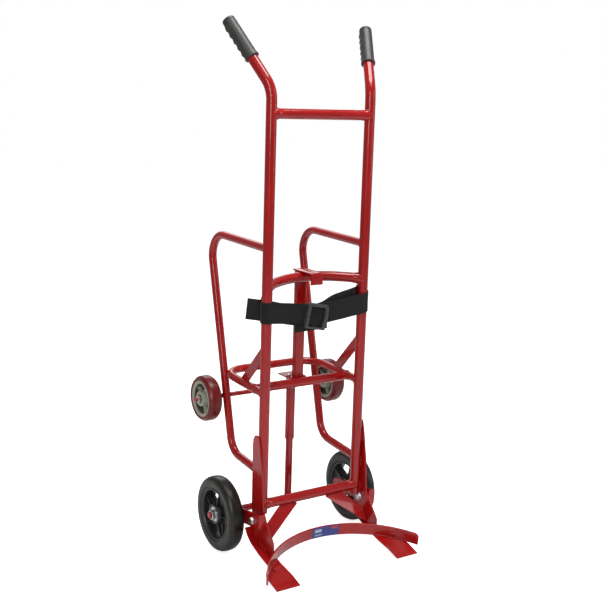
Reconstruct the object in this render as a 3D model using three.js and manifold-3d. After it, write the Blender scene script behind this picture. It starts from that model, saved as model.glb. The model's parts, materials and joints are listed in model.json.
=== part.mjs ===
// Drum dolly: welded tube frame, two load wheels, two tilt-back wheels, sliding drum hook and strap.
// Millimetres, +Z up, +X to the right seen from the front, the drum side faces -Y.
import * as THREE from 'three';
import { mergeVertices } from 'three/addons/utils/BufferGeometryUtils.js';
import Module from 'manifold-3d';

const wasm = await Module();
wasm.setup();

// ---------------------------------------------------------------- driving dimensions
const GAP = 0.3;                      // clearance left between welded or bolted neighbours
const FRAME_SPAN = 330;               // upright centre to upright centre
const UPRIGHT_DIA = 30;
const TUBE_WALL = 2;
const UPRIGHT_BOTTOM = 130;
const HANDLE_BEND_HEIGHT = 1337;
const HANDLE_BEND_RADIUS = 90;
const HANDLE_DIRECTION = [0.288, 0.557, 0.779];
const GRIP_START = 101.6;             // along the handle, from the bend vertex
const GRIP_LENGTH = 130;
const GRIP_WALL = 3.4;
const GRIP_FLANGE = 2.2;              // flange height over the grip body
const UPPER_CROSS_DROP = 66;          // below the handle bend
const CURVED_CROSS_HEIGHT = 797;
const CURVED_CROSS_BOW = 59;
const CURVED_CROSS_RISE = 8;
const LOWER_CROSS_RISE = 25.6;        // above the foot of the uprights
const LOOP_DIA = 24;
const LOOP_INSET = 2;                 // support loop plane, inside the upright's centre
const LOOP_TOP = 902;
const LOOP_BOTTOM = 245;
const LOOP_REAR = [343, 912];         // y and z where the loop's straight lines meet
const LOOP_HEEL = [184, 261];
const LOOP_BENDS = [68, 60];
const HOOP_DIA = 24;
const HOOP_HEIGHT = 486;
const HOOP_RISE = 10;
const HOOP_DEPTH = 247;
const HOOP_CORNER = 70;
const HOOP_BAR_DIA = 27;
const HOOP_BAR_Y = 58;
const BRACE_SIZE = [30, 5];
const BRACE_REACH = [114, 120];       // how far back and how far down a hoop brace runs
const RIB_THICKNESS = 5;
const TOE_INSET = 5;                  // toe plate's inner edge, outside the upright's centre
const TOE_WIDTH = 75;
const HEEL_WIDTH = 41;
const TOE_THICKNESS = 5;
const TOE_TIP_THICKNESS = 2;
const TOE_BRACE_THICKNESS = 5;
const BAND_RADIUS = 298;              // inner radius of the drum arc
const BAND_THICKNESS = 5;
const BAND_HEIGHT = 36;
const BAND_SEAT_Y = -126.1;           // where the arc crosses the toe plate's centre line
const BAND_OVERHANG = 26;             // arc end past the toe plate's centre line
const BAND_SEAT = 1.5;                // how deep the arc sits into the toe plates
const BAND_TILT_DEG = 7.2;
const LABEL_SPREAD = [0.151, 5, 0.094]; // label half angle, facets and middle on the arc
const BRACKET_STANDOFF = 14.7;        // leg rib to axle bracket
const BRACKET_THICKNESS = 5;
const FRONT_AXLE_HEIGHT = 99.5;
const FRONT_AXLE_DIA = 20;
const FRONT_AXLE_STUB = 15;           // axle end past the wheel hub
const FRONT_WHEEL_DIA = 224;
const FRONT_WHEEL_WIDTH = 46;
const FRONT_HUB_WIDTH = 46;
const FRONT_RIM_DIA = 156;
const FRONT_HUB_CLEARANCE = 9;        // bracket to hub
const FRONT_BEARING_DIA = 46;
const RUNNING_CLEARANCE = 0.3;
const REAR_AXLE_HEIGHT = 420;
const REAR_AXLE_DIA = 14;
const REAR_AXLE_STUB = 18;
const REAR_WHEEL_DIA = 138;
const REAR_WHEEL_WIDTH = 42;
const REAR_HUB_WIDTH = 44;
const REAR_RIM_DIA = 110;
const REAR_BUSH_DIA = 26;
const REAR_HUB_CLEARANCE = 26;        // support loop to hub
const WASHER_THICKNESS = 2.5;
const POST_DIA = 22;
const POST_TOP = 490;
const SLEEVE_WALL = 2.5;
const SLEEVE_CLEARANCE = 0.5;
const SLEEVE_BOTTOM = 295;
const SQUARE_SIZE = [30, 20];         // sliding tube, across and front to back
const POST_SETBACK = 34.6;            // sliding tube centre to post centre
const SQUARE_CLEARANCE = 1.4;         // sliding tube to the curved cross tube
const SQUARE_BOTTOM = 502;
const HOOK_WIDTH = 40;
const HOOK_THICKNESS = 4.2;
const HOOK_FRONT = -2.5;
const HOOK_LIP = 30;                  // lip depth under the hook plate
const HOOK_SEAT = [34, 1];            // raised seat under the hook: depth behind the lip, thickness
const FOOT_PLATE = [60, 4];
const LOCK_BOLT_DIA = 8;
const STRAP_WIDTH = 60;
const STRAP_THICKNESS = 2.4;
const STRAP_Z = 727;                  // webbing centre height at the uprights
const STRAP_BACK_Z = 738;
const BUCKLE_SIZE = [72, 14, 74];
const BUCKLE_POS = [-15, -24, 704];
const KEEPER_DEPTH = 13;              // strap keeper behind the upright
const KEEPER_WIRE = 6;
const BOLT_Y = -15;
const BOLT_Z = 119;
const BOLT_DIA = 14;
const BOLT_FLATS = 21;

// ---------------------------------------------------------------- places that follow from them
const HALF_SPAN = FRAME_SPAN / 2;
const UPRIGHT_R = UPRIGHT_DIA / 2;
const GRIP_DIA = UPRIGHT_DIA + 2 * (GAP + GRIP_WALL);
const UPPER_CROSS_HEIGHT = HANDLE_BEND_HEIGHT - UPPER_CROSS_DROP;
const LOWER_CROSS_HEIGHT = UPRIGHT_BOTTOM + LOWER_CROSS_RISE;
const LOOP_OFFSET = HALF_SPAN - LOOP_INSET;
const RIB_INNER = HALF_SPAN + UPRIGHT_R + GAP;
const RIB_OUTER = RIB_INNER + RIB_THICKNESS;
const TOE_INNER = HALF_SPAN + TOE_INSET;
const TOE_OUTER = TOE_INNER + TOE_WIDTH;
const HEEL_OUTER = TOE_INNER + HEEL_WIDTH;
const BAND_END_X = TOE_OUTER + BAND_OVERHANG - 5;
const BRACKET_FACE = RIB_OUTER + BRACKET_STANDOFF;
const BRACKET_OUTER = BRACKET_FACE + BRACKET_THICKNESS;
const SLEEVE_DIA = POST_DIA + 2 * (SLEEVE_CLEARANCE + SLEEVE_WALL);
const SQUARE_Y = CURVED_CROSS_BOW + UPRIGHT_R + SQUARE_CLEARANCE + SQUARE_SIZE[1] / 2;
const POST_Y = SQUARE_Y + POST_SETBACK;
const FRONT_AXLE = [POST_Y, FRONT_AXLE_HEIGHT];
const FRONT_WHEEL_X = BRACKET_OUTER + FRONT_HUB_CLEARANCE + FRONT_HUB_WIDTH / 2;
const FRONT_AXLE_HALF = FRONT_WHEEL_X + FRONT_HUB_WIDTH / 2 + FRONT_AXLE_STUB;
const REAR_WHEEL_X = LOOP_OFFSET + LOOP_DIA / 2 + REAR_HUB_CLEARANCE + REAR_HUB_WIDTH / 2;
const REAR_AXLE_HALF = REAR_WHEEL_X + REAR_HUB_WIDTH / 2 + REAR_AXLE_STUB;
const HOOK_BOTTOM = CURVED_CROSS_HEIGHT + CURVED_CROSS_RISE + UPRIGHT_R + GAP;
const HOOK_REAR = SQUARE_Y + SQUARE_SIZE[1] / 2 + 1;
const SIDES = [['left', -1], ['right', 1]];
const vec = (x, y, z) => new THREE.Vector3(x, y, z);

// The rear axle lies against the back of the support loops, which slope.
const loopSlope = (LOOP_REAR[0] - LOOP_HEEL[0]) / (LOOP_REAR[1] - LOOP_HEEL[1]);
const axleStandoff = (LOOP_DIA + REAR_AXLE_DIA) / 2 + GAP;
const REAR_AXLE = [
  LOOP_HEEL[0] + (REAR_AXLE_HEIGHT - LOOP_HEEL[1]) * loopSlope + axleStandoff * Math.hypot(1, loopSlope),
  REAR_AXLE_HEIGHT,
];

// ---------------------------------------------------------------- materials
function material(name, color, metalness, roughness) {
  return new THREE.MeshStandardMaterial({ name, color, metalness, roughness });
}
const redPaint = material('red_paint', 0x9e1f22, 0.1, 0.35);
const gripRubber = material('grip_rubber', 0x3c3c3a, 0.0, 0.7);
const tyreRubber = material('tyre_rubber', 0x2b2a27, 0.0, 0.8);
const hubPlastic = material('black_hub', 0x1c1c1c, 0.0, 0.5);
const treadUrethane = material('maroon_tread', 0x661418, 0.0, 0.4);
const greyHub = material('grey_hub', 0x8c8f7c, 0.0, 0.55);
const zinc = material('zinc', 0xb9bcc0, 1.0, 0.3);
const webbing = material('webbing', 0x1f1e1d, 0.0, 0.9);
const bucklePlastic = material('buckle_plastic', 0x262628, 0.0, 0.45);
const labelFilm = material('label_film', 0x1c2f6e, 0.0, 0.4);

// ---------------------------------------------------------------- solid helpers
function solidOf(geometry) {
  const bare = new THREE.BufferGeometry();
  bare.setAttribute('position', geometry.getAttribute('position').clone());
  if (geometry.index) {
    bare.setIndex(geometry.index.clone());
  }
  const merged = mergeVertices(bare, 1e-3);
  const mesh = new wasm.Mesh({
    numProp: 3,
    vertProperties: new Float32Array(merged.getAttribute('position').array),
    triVerts: new Uint32Array(merged.index.array),
  });
  return new wasm.Manifold(mesh);
}

function union(solids) {
  return solids.reduce((sum, next) => sum.add(next));
}

function cut(solid, cutters) {
  return cutters.reduce((rest, next) => rest.subtract(next), solid);
}

const assembly = new THREE.Group();
assembly.name = 'drum_dolly';

function addPart(name, solid, partMaterial) {
  const result = solid.getMesh();
  const geometry = new THREE.BufferGeometry();
  geometry.setAttribute('position', new THREE.BufferAttribute(new Float32Array(result.vertProperties), 3));
  geometry.setIndex(new THREE.BufferAttribute(new Uint32Array(result.triVerts), 1));
  geometry.computeVertexNormals();
  const mesh = new THREE.Mesh(geometry, partMaterial);
  mesh.name = name;
  assembly.add(mesh);
}

function box(center, size) {
  const geometry = new THREE.BoxGeometry(...size);
  geometry.translate(...center);
  return solidOf(geometry);
}

// A path through given corner points, each corner rounded to its own bend radius.
class BentPath extends THREE.Curve {
  constructor(corners, radii, arcSteps = 6) {
    super();
    this.points = [corners[0].clone()];
    for (let i = 1; i < corners.length - 1; i += 1) {
      const into = corners[i].clone().sub(corners[i - 1]).normalize();
      const out = corners[i + 1].clone().sub(corners[i]).normalize();
      const turn = into.angleTo(out);
      const reach = radii[i - 1] * Math.tan(turn / 2);
      const start = corners[i].clone().addScaledVector(into, -reach);
      const inward = out.clone().addScaledVector(into, -out.dot(into)).normalize();
      const middle = start.clone().addScaledVector(inward, radii[i - 1]);
      for (let k = 0; k <= arcSteps; k += 1) {
        const angle = turn * k / arcSteps;
        const spoke = inward.clone().multiplyScalar(-Math.cos(angle)).addScaledVector(into, Math.sin(angle));
        this.points.push(middle.clone().addScaledVector(spoke, radii[i - 1]));
      }
    }
    this.points.push(corners[corners.length - 1].clone());
    this.last = this.points.length - 1;
  }

  getPointAt(u) {
    return this.points[Math.round(u * this.last)].clone();
  }

  getTangentAt(u) {
    const i = Math.round(u * this.last);
    const before = this.points[Math.max(i - 1, 0)];
    const after = this.points[Math.min(i + 1, this.last)];
    const here = this.points[i];
    const back = here.clone().sub(before).normalize();
    const ahead = after.clone().sub(here).normalize();
    return back.add(ahead).normalize();
  }
}

function sweep(shape, path, curveSegments) {
  const geometry = new THREE.ExtrudeGeometry(shape, {
    steps: path.last, curveSegments, bevelEnabled: false, extrudePath: path,
  });
  return solidOf(geometry);
}

function roundShape(radius, bore) {
  const shape = new THREE.Shape();
  shape.absarc(0, 0, radius, 0, Math.PI * 2, false);
  if (bore > 0) {
    const hole = new THREE.Path();
    hole.absarc(0, 0, bore, 0, Math.PI * 2, true);
    shape.holes.push(hole);
  }
  return shape;
}

function tube(path, diameter, curveSegments = 8) {
  return sweep(roundShape(diameter / 2, diameter / 2 - TUBE_WALL), path, curveSegments);
}

function rod(path, diameter, curveSegments = 8) {
  return sweep(roundShape(diameter / 2, 0), path, curveSegments);
}

function straight(a, b) {
  return new BentPath([a, b], []);
}

// A lathe profile of [radius, station] pairs, closed on itself, turned about an axis through a point.
function turned(profile, segments, origin, direction) {
  const points = profile.map(([r, s]) => new THREE.Vector2(r, s));
  if (profile[0][0] > 0) {
    points.push(points[0].clone());
  }
  const geometry = new THREE.LatheGeometry(points, segments);
  geometry.applyQuaternion(new THREE.Quaternion().setFromUnitVectors(vec(0, 1, 0), direction.clone().normalize()));
  geometry.translate(origin.x, origin.y, origin.z);
  const solid = solidOf(geometry);
  return solid.volume() < 0 ? flipped(geometry) : solid;
}

function flipped(geometry) {
  const bare = new THREE.BufferGeometry();
  bare.setAttribute('position', geometry.getAttribute('position'));
  const index = Array.from(geometry.index.array);
  for (let i = 0; i < index.length; i += 3) {
    [index[i], index[i + 1]] = [index[i + 1], index[i]];
  }
  bare.setIndex(index);
  return solidOf(bare);
}

// A flat plate drawn in the Y-Z plane and standing between two x stations.
function sidePlate(outline, xLow, xHigh) {
  const shape = new THREE.Shape(outline.map(([y, z]) => new THREE.Vector2(y, z)));
  const geometry = new THREE.ExtrudeGeometry(shape, { depth: xHigh - xLow, bevelEnabled: false });
  geometry.applyMatrix4(new THREE.Matrix4().set(0, 0, 1, xLow, 1, 0, 0, 0, 0, 1, 0, 0, 0, 0, 0, 1));
  return solidOf(geometry);
}

// Height of a line of [y, z] points at a station y, carried on past its last point.
function heightOn(line, y) {
  const i = Math.max(line.findIndex(([yNext]) => yNext <= y), 1);
  const [y0, z0] = line[i - 1];
  const [y1, z1] = line[i];
  return z0 + (z1 - z0) * (y - y0) / (y1 - y0);
}

// A flat bar whose upper face follows a line of [y, z] points.
function bentBarOutline(line, thickness) {
  const lower = line.map(([y, z], i) => {
    const [y0, z0] = line[Math.max(i - 1, 0)];
    const [y1, z1] = line[Math.min(i + 1, line.length - 1)];
    const length = Math.hypot(y1 - y0, z1 - z0);
    return [y + (z1 - z0) * Math.sign(y1 - y0) / length * thickness, z - Math.abs(y1 - y0) / length * thickness];
  });
  return line.concat(lower.reverse());
}

function mirrored(solid, side) {
  return side > 0 ? solid : solid.mirror([1, 0, 0]);
}

// ---------------------------------------------------------------- uprights and handles
const handleDirection = vec(...HANDLE_DIRECTION).normalize();
const bendVertex = vec(HALF_SPAN, 0, HANDLE_BEND_HEIGHT);
const gripStart = bendVertex.clone().addScaledVector(handleDirection, GRIP_START);
const gripEnd = gripStart.clone().addScaledVector(handleDirection, GRIP_LENGTH);
const uprightPath = new BentPath(
  [vec(HALF_SPAN, 0, UPRIGHT_BOTTOM), bendVertex, gripEnd.clone().addScaledVector(handleDirection, -8)],
  [HANDLE_BEND_RADIUS], 7);
const upright = tube(uprightPath, UPRIGHT_DIA, 9);

function clearOfUpright(side) {
  const axis = straight(vec(side * HALF_SPAN, 0, 0), vec(side * HALF_SPAN, 0, HANDLE_BEND_HEIGHT));
  return rod(axis, UPRIGHT_DIA + 2 * GAP, 9);
}
const uprightClearances = [clearOfUpright(-1), clearOfUpright(1)];

function gripSolid() {
  const r = GRIP_DIA / 2;
  const bore = UPRIGHT_R + GAP;
  const profile = [
    [bore, 0], [r + GRIP_FLANGE - 1, 0], [r + GRIP_FLANGE, 1.5], [r + GRIP_FLANGE, 4],
    [r + 0.6, 7], [r, 12], [r, GRIP_LENGTH - 12], [r - 1.5, GRIP_LENGTH - 4], [r - 6, GRIP_LENGTH],
    [0, GRIP_LENGTH + 1],
  ];
  const inner = [[0, GRIP_LENGTH - 7.5], [bore, GRIP_LENGTH - 7.5]];
  const points = profile.concat(inner);
  const turnedUp = new THREE.LatheGeometry(points.map(([x, y]) => new THREE.Vector2(x, y)).concat([
    new THREE.Vector2(bore, 0)]), 20);
  const body = flippedIfInside(turnedUp);
  const bumps = [0, 1, 2, 3, 4].map((k) => {
    const bump = new THREE.SphereGeometry(1, 12, 8);
    bump.scale(12, 10, 8);
    bump.translate(0, 22 + k * 21, -r + 3.2);
    return solidOf(bump);
  });
  const keep = new THREE.CylinderGeometry(bore, bore, GRIP_LENGTH - 7.5, 20);
  keep.translate(0, (GRIP_LENGTH - 7.5) / 2, 0);
  return union([body, ...bumps]).subtract(solidOf(keep));
}

function flippedIfInside(geometry) {
  const solid = solidOf(geometry);
  return solid.volume() < 0 ? flipped(geometry) : solid;
}

// Turns a solid built along +Y so that it runs along the handle with its bumps to the rear underside.
function alongHandle(solid) {
  const up = vec(0, -handleDirection.z, handleDirection.y).normalize();
  const across = new THREE.Vector3().crossVectors(handleDirection, up).normalize();
  const out = new THREE.Vector3().crossVectors(across, handleDirection);
  const m = new THREE.Matrix4().makeBasis(across, handleDirection, out).setPosition(gripStart);
  return solid.transform(m.elements.slice());
}
const grip = alongHandle(gripSolid());

for (const [name, side] of SIDES) {
  addPart(`${name}_upright`, mirrored(upright, side), redPaint);
  addPart(`${name}_grip`, mirrored(grip, side), gripRubber);
}

// ---------------------------------------------------------------- cross tubes
function crossTube(height) {
  return cut(tube(straight(vec(-HALF_SPAN, 0, height), vec(HALF_SPAN, 0, height)), UPRIGHT_DIA, 9), uprightClearances);
}
addPart('upper_cross_tube', crossTube(UPPER_CROSS_HEIGHT), redPaint);
addPart('lower_cross_tube', crossTube(LOWER_CROSS_HEIGHT), redPaint);

const curvedPath = new BentPath([vec(-HALF_SPAN, 0, CURVED_CROSS_HEIGHT), vec(HALF_SPAN, 0, CURVED_CROSS_HEIGHT)], []);
const CURVED_STEPS = 14;
curvedPath.points = Array.from({ length: CURVED_STEPS + 1 }, (unused, i) => {
  const t = 2 * i / CURVED_STEPS - 1;
  const bow = 1 - t * t;
  return vec(t * HALF_SPAN, CURVED_CROSS_BOW * bow, CURVED_CROSS_HEIGHT + CURVED_CROSS_RISE * bow);
});
curvedPath.last = CURVED_STEPS;
addPart('curved_cross_tube', cut(tube(curvedPath, UPRIGHT_DIA, 8), uprightClearances), redPaint);

// ---------------------------------------------------------------- rear support loops, hoop and braces
const loopCorners = [[0, LOOP_TOP], LOOP_REAR, LOOP_HEEL, [0, LOOP_BOTTOM]];
const loopPath = new BentPath(loopCorners.map(([y, z]) => vec(LOOP_OFFSET, y, z)), LOOP_BENDS, 7);
const loopClearance = rod(loopPath, LOOP_DIA + 2 * GAP, 7);
const loop = cut(tube(loopPath, LOOP_DIA, 7), [uprightClearances[1]]);

const hoopCorners = [
  vec(-HALF_SPAN, 0, HOOP_HEIGHT), vec(-HALF_SPAN, HOOP_DEPTH, HOOP_HEIGHT + HOOP_RISE),
  vec(HALF_SPAN, HOOP_DEPTH, HOOP_HEIGHT + HOOP_RISE), vec(HALF_SPAN, 0, HOOP_HEIGHT),
];
const hoopPath = new BentPath(hoopCorners, [HOOP_CORNER, HOOP_CORNER], 7);
const hoopClearance = rod(hoopPath, HOOP_DIA + 2 * GAP, 7);
const loopClearances = [loopClearance, mirrored(loopClearance, -1)];
addPart('rear_hoop', cut(tube(hoopPath, HOOP_DIA, 7), [...uprightClearances, ...loopClearances]), redPaint);

const barHeight = HOOP_HEIGHT + HOOP_RISE * HOOP_BAR_Y / HOOP_DEPTH;
const hoopBarPath = straight(vec(-HALF_SPAN, HOOP_BAR_Y, barHeight), vec(HALF_SPAN, HOOP_BAR_Y, barHeight));
addPart('hoop_front_bar', cut(tube(hoopBarPath, HOOP_BAR_DIA, 8), [hoopClearance]), redPaint);

const braceLow = [UPRIGHT_R - 7 + BRACE_REACH[0], HOOP_HEIGHT + 6];
const braceTop = [UPRIGHT_R - 7, braceLow[1] + BRACE_REACH[1]];
const braceScale = BRACE_SIZE[0] / 2 / Math.hypot(...BRACE_REACH);
const braceEdge = [BRACE_REACH[1] * braceScale, BRACE_REACH[0] * braceScale];
const braceCorner = ([y, z], sign) => [y + sign * braceEdge[0], z + sign * braceEdge[1]];
const braceOutline = [
  braceCorner(braceTop, -1), braceCorner(braceLow, -1), braceCorner(braceLow, 1), braceCorner(braceTop, 1),
];
const belowHoop = box([HALF_SPAN, 120, HOOP_HEIGHT - 50], [60, 300, 100]);
const brace = cut(
  sidePlate(braceOutline, HALF_SPAN - BRACE_SIZE[1] / 2, HALF_SPAN + BRACE_SIZE[1] / 2),
  [uprightClearances[1], hoopClearance, belowHoop, box([HALF_SPAN, -40, 600], [60, 80, 100])]);

for (const [name, side] of SIDES) {
  addPart(`${name}_support_loop`, mirrored(loop, side), redPaint);
  addPart(`${name}_hoop_brace`, mirrored(brace, side), redPaint);
}

// ---------------------------------------------------------------- toe plates, heel strips and leg ribs
const toeLine = [[-115, 23.5], [-178, 13], [-220, 0]];
const heelLine = [[16, 88], [6, 75], [-6, 63.5], [-20, 54], [-60, 39], [-114.6, 23.9]];
const toePlate = sidePlate(bentBarOutline(toeLine, TOE_THICKNESS), TOE_INNER, TOE_OUTER);
const toeTip = toeLine[toeLine.length - 1];
const toeNoseCut = sidePlate([
  [toeTip[0] - 1, toeTip[1] - TOE_TIP_THICKNESS - 6], [toeTip[0] + 17, toeTip[1] - TOE_TIP_THICKNESS - 6],
  [toeTip[0] - 1, toeTip[1] - TOE_TIP_THICKNESS],
], TOE_INNER - 5, TOE_OUTER + 5);
const heelStrip = sidePlate(bentBarOutline(heelLine, TOE_THICKNESS), TOE_INNER, HEEL_OUTER)
  .subtract(sidePlate([[-130, 60], [-115 + GAP, 60], [-115 + GAP, 0], [-130, 0]], TOE_INNER - 5, HEEL_OUTER + 5));

const bandOuter = BAND_RADIUS + BAND_THICKNESS;
const bandEndAngle = Math.asin(BAND_END_X / bandOuter);
const bandSeatX = TOE_INNER + TOE_WIDTH / 2;
const bandCenterY = BAND_SEAT_Y - Math.sqrt(BAND_RADIUS ** 2 - bandSeatX ** 2);
const bandEndY = bandCenterY + BAND_RADIUS * Math.cos(bandEndAngle);
const bandSlope = Math.tan(THREE.MathUtils.degToRad(BAND_TILT_DEG));
const bandEndHeight = heightOn(toeLine, BAND_SEAT_Y) - BAND_SEAT - (BAND_SEAT_Y - bandEndY) * bandSlope;

// The drum arc: a flat bar rolled to the drum's radius and tipped slightly back.
function bandSector(inner, outer, low, high, halfAngle, segments, middle = 0) {
  const shape = new THREE.Shape();
  const from = Math.PI / 2 - middle - halfAngle;
  const to = Math.PI / 2 - middle + halfAngle;
  shape.absarc(0, 0, outer, from, to, false);
  shape.absarc(0, 0, inner, to, from, true);
  const geometry = new THREE.ExtrudeGeometry(shape, {
    depth: high - low, bevelEnabled: false, curveSegments: segments,
  });
  geometry.translate(0, 0, low);
  geometry.translate(0, bandCenterY - bandEndY, 0);
  geometry.rotateX(THREE.MathUtils.degToRad(BAND_TILT_DEG));
  geometry.translate(0, bandEndY, bandEndHeight);
  return solidOf(geometry);
}
const band = bandSector(BAND_RADIUS, bandOuter, 0, BAND_HEIGHT, bandEndAngle, 18);
const bandClearance = bandSector(BAND_RADIUS - GAP, bandOuter + GAP, -60, BAND_HEIGHT + GAP, bandEndAngle, 18);

const behindArc = box([HALF_SPAN + 150, bandCenterY + 200, 0], [300 - 2 * (HEEL_OUTER - HALF_SPAN), 400, 200])
  .subtract(rod(straight(vec(0, bandCenterY, -150), vec(0, bandCenterY, 150)), 2 * (bandOuter + BAND_SEAT), 60));

function raisedLine(line, lift) {
  return line.map(([y, z]) => [y, z + lift]);
}
const toeBlock = sidePlate(bentBarOutline(raisedLine(toeLine, GAP), 40), TOE_INNER - GAP, TOE_OUTER + GAP);
const soleLine = [...heelLine.slice(0, -1), ...toeLine];
const heelBlock = sidePlate(bentBarOutline(raisedLine(soleLine, GAP), 40), TOE_INNER - GAP, HEEL_OUTER + GAP);
const shoeBlocks = [toeBlock, heelBlock];
addPart('drum_arc', cut(band, [...shoeBlocks, ...shoeBlocks.map((block) => mirrored(block, -1))]), redPaint);
addPart('arc_label', bandSector(
  BAND_RADIUS - 0.9, BAND_RADIUS - GAP, 1.5, BAND_HEIGHT - 1.5, ...LABEL_SPREAD)
  .subtract(box([-198, -150, 40], [350, 400, 120])), labelFilm);

const ribOutline = [
  [27, 335], [24, 352], [16, 363], [6, 365], [-6, 358], [-14, 326], [-30, 238], [-38, 150], [-52, 126], [-70, 104],
  [-88, 83], [-95.5, 72], [-95.5, 28], [-60, 36], [-20, 48], [-4, 58], [8, 70], [18, 90], [26, 146],
];
const boltHole = rod(straight(vec(RIB_INNER - 5, BOLT_Y, BOLT_Z), vec(BRACKET_FACE + 20, BOLT_Y, BOLT_Z)),
  BOLT_DIA + 2 * GAP, 6);
const rib = cut(sidePlate(ribOutline, RIB_INNER, RIB_OUTER),
  [heelBlock, toeBlock, bandClearance, boltHole]);

const tubeUnderside = LOWER_CROSS_HEIGHT - UPRIGHT_R - GAP;
const braceCorners = [
  [HALF_SPAN - 115, -8, tubeUnderside], [HALF_SPAN - 50, -8, tubeUnderside],
  [RIB_INNER - GAP, -24, 83.5], [RIB_INNER - GAP, -50, 48.5],
];
function plateThrough(corners, thickness) {
  const [a, b, c, d] = corners.map((p) => vec(...p));
  const normal = b.clone().sub(a).cross(d.clone().sub(a)).normalize().multiplyScalar(-thickness);
  const ring = [a, b, c, d];
  const points = ring.concat(ring.map((p) => p.clone().add(normal)));
  const faces = [
    0, 1, 2, 0, 2, 3, 4, 6, 5, 4, 7, 6, 0, 5, 1, 0, 4, 5, 1, 6, 2, 1, 5, 6, 2, 7, 3, 2, 6, 7, 3, 4, 0, 3, 7, 4,
  ];
  const geometry = new THREE.BufferGeometry().setFromPoints(points);
  geometry.setIndex(faces);
  return flippedIfInside(geometry);
}
const toeBrace = cut(plateThrough(braceCorners, TOE_BRACE_THICKNESS), [
  rod(straight(vec(0, 0, LOWER_CROSS_HEIGHT), vec(HALF_SPAN, 0, LOWER_CROSS_HEIGHT)), UPRIGHT_DIA + 2 * GAP, 9),
  uprightClearances[1], heelBlock, box([RIB_INNER + 10 - GAP, -40, 80], [20, 120, 160]),
]);

for (const [name, side] of SIDES) {
  addPart(`${name}_toe_plate`, mirrored(cut(toePlate, [toeNoseCut, behindArc]), side), redPaint);
  addPart(`${name}_heel_strip`, mirrored(heelStrip, side), redPaint);
  addPart(`${name}_leg_rib`, mirrored(rib, side), redPaint);
  addPart(`${name}_toe_brace`, mirrored(toeBrace, side), redPaint);
}

// ---------------------------------------------------------------- axle brackets and their fasteners
const [axleY, axleZ] = FRONT_AXLE;
const bracketOutline = [
  [-50, 104], [-50, 146], [-44, 146], [axleY + 30, axleZ + 20.5], [axleY + 40, axleZ + 12.5],
  [axleY + 42, axleZ - 3.5], [axleY + 36, axleZ - 15.5], [axleY + 24, axleZ - 21.5],
];
const flange = box([(RIB_OUTER + GAP + BRACKET_OUTER) / 2, -47.5, 125], [BRACKET_OUTER - RIB_OUTER - GAP, 5, 42]);
const axleBore = rod(straight(vec(0, ...FRONT_AXLE), vec(FRONT_AXLE_HALF, ...FRONT_AXLE)), FRONT_AXLE_DIA + 2 * GAP, 9);
const bracket = cut(union([sidePlate(bracketOutline, BRACKET_FACE, BRACKET_OUTER), flange]), [boltHole, axleBore]);

function hexPrism(acrossFlats, xLow, xHigh, bore) {
  const shape = new THREE.Shape(Array.from({ length: 6 }, (unused, k) => {
    const angle = Math.PI * k / 3 + Math.PI / 6;
    const corner = acrossFlats / Math.sqrt(3);
    return new THREE.Vector2(corner * Math.cos(angle), corner * Math.sin(angle));
  }));
  if (bore > 0) {
    const hole = new THREE.Path();
    hole.absarc(0, 0, bore, 0, Math.PI * 2, true);
    shape.holes.push(hole);
  }
  const geometry = new THREE.ExtrudeGeometry(shape, { depth: xHigh - xLow, bevelEnabled: false, curveSegments: 6 });
  geometry.rotateY(Math.PI / 2);
  geometry.translate(xLow, 0, 0);
  return solidOf(geometry);
}

const boltShank = rod(straight(vec(RIB_INNER - 14.5, 0, 0), vec(BRACKET_OUTER + GAP + 1, 0, 0)), BOLT_DIA, 6);
const bolt = union([boltShank, hexPrism(BOLT_FLATS, BRACKET_OUTER + GAP, BRACKET_OUTER + GAP + 8.8, 0)]);
const nut = hexPrism(BOLT_FLATS, RIB_INNER - GAP - 12, RIB_INNER - GAP, BOLT_DIA / 2 + GAP);

for (const [name, side] of SIDES) {
  addPart(`${name}_axle_bracket`, mirrored(bracket, side), redPaint);
  addPart(`${name}_bracket_bolt`, mirrored(bolt.translate([0, BOLT_Y, BOLT_Z]), side), zinc);
  addPart(`${name}_bracket_nut`, mirrored(nut.translate([0, BOLT_Y, BOLT_Z]), side), zinc);
}

// ---------------------------------------------------------------- wheels and axles
function bushing(boreDia, seatDia, length, segments) {
  const inner = boreDia / 2 + RUNNING_CLEARANCE;
  const outer = seatDia / 2 - GAP;
  const half = length / 2;
  return turned([[inner, -half], [outer, -half], [outer, half], [inner, half]], segments, vec(0, 0, 0), vec(1, 0, 0));
}

function rimAndSpokes([rimOuter, rimInner, width], [bossRadius, bore, bossWidth], [spokeCount, spokeWidth, turn]) {
  const rim = turned([
    [rimInner, -width / 2], [rimOuter, -width / 2], [rimOuter, width / 2], [rimInner, width / 2],
    [rimInner - 3, 0],
  ], 30, vec(0, 0, 0), vec(1, 0, 0));
  const boss = turned([
    [bore, -bossWidth / 2], [bossRadius, -bossWidth / 2], [bossRadius, bossWidth / 2], [bore, bossWidth / 2],
  ], 20, vec(0, 0, 0), vec(1, 0, 0));
  const spokes = Array.from({ length: spokeCount }, (unused, k) => {
    const length = rimInner - bossRadius + 3;
    const spoke = box([0, (rimInner + bossRadius) / 2, 0], [width * 0.62, length, spokeWidth]);
    return spoke.rotate([turn + 360 * k / spokeCount, 0, 0]);
  });
  return union([rim, boss, ...spokes]);
}

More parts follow.
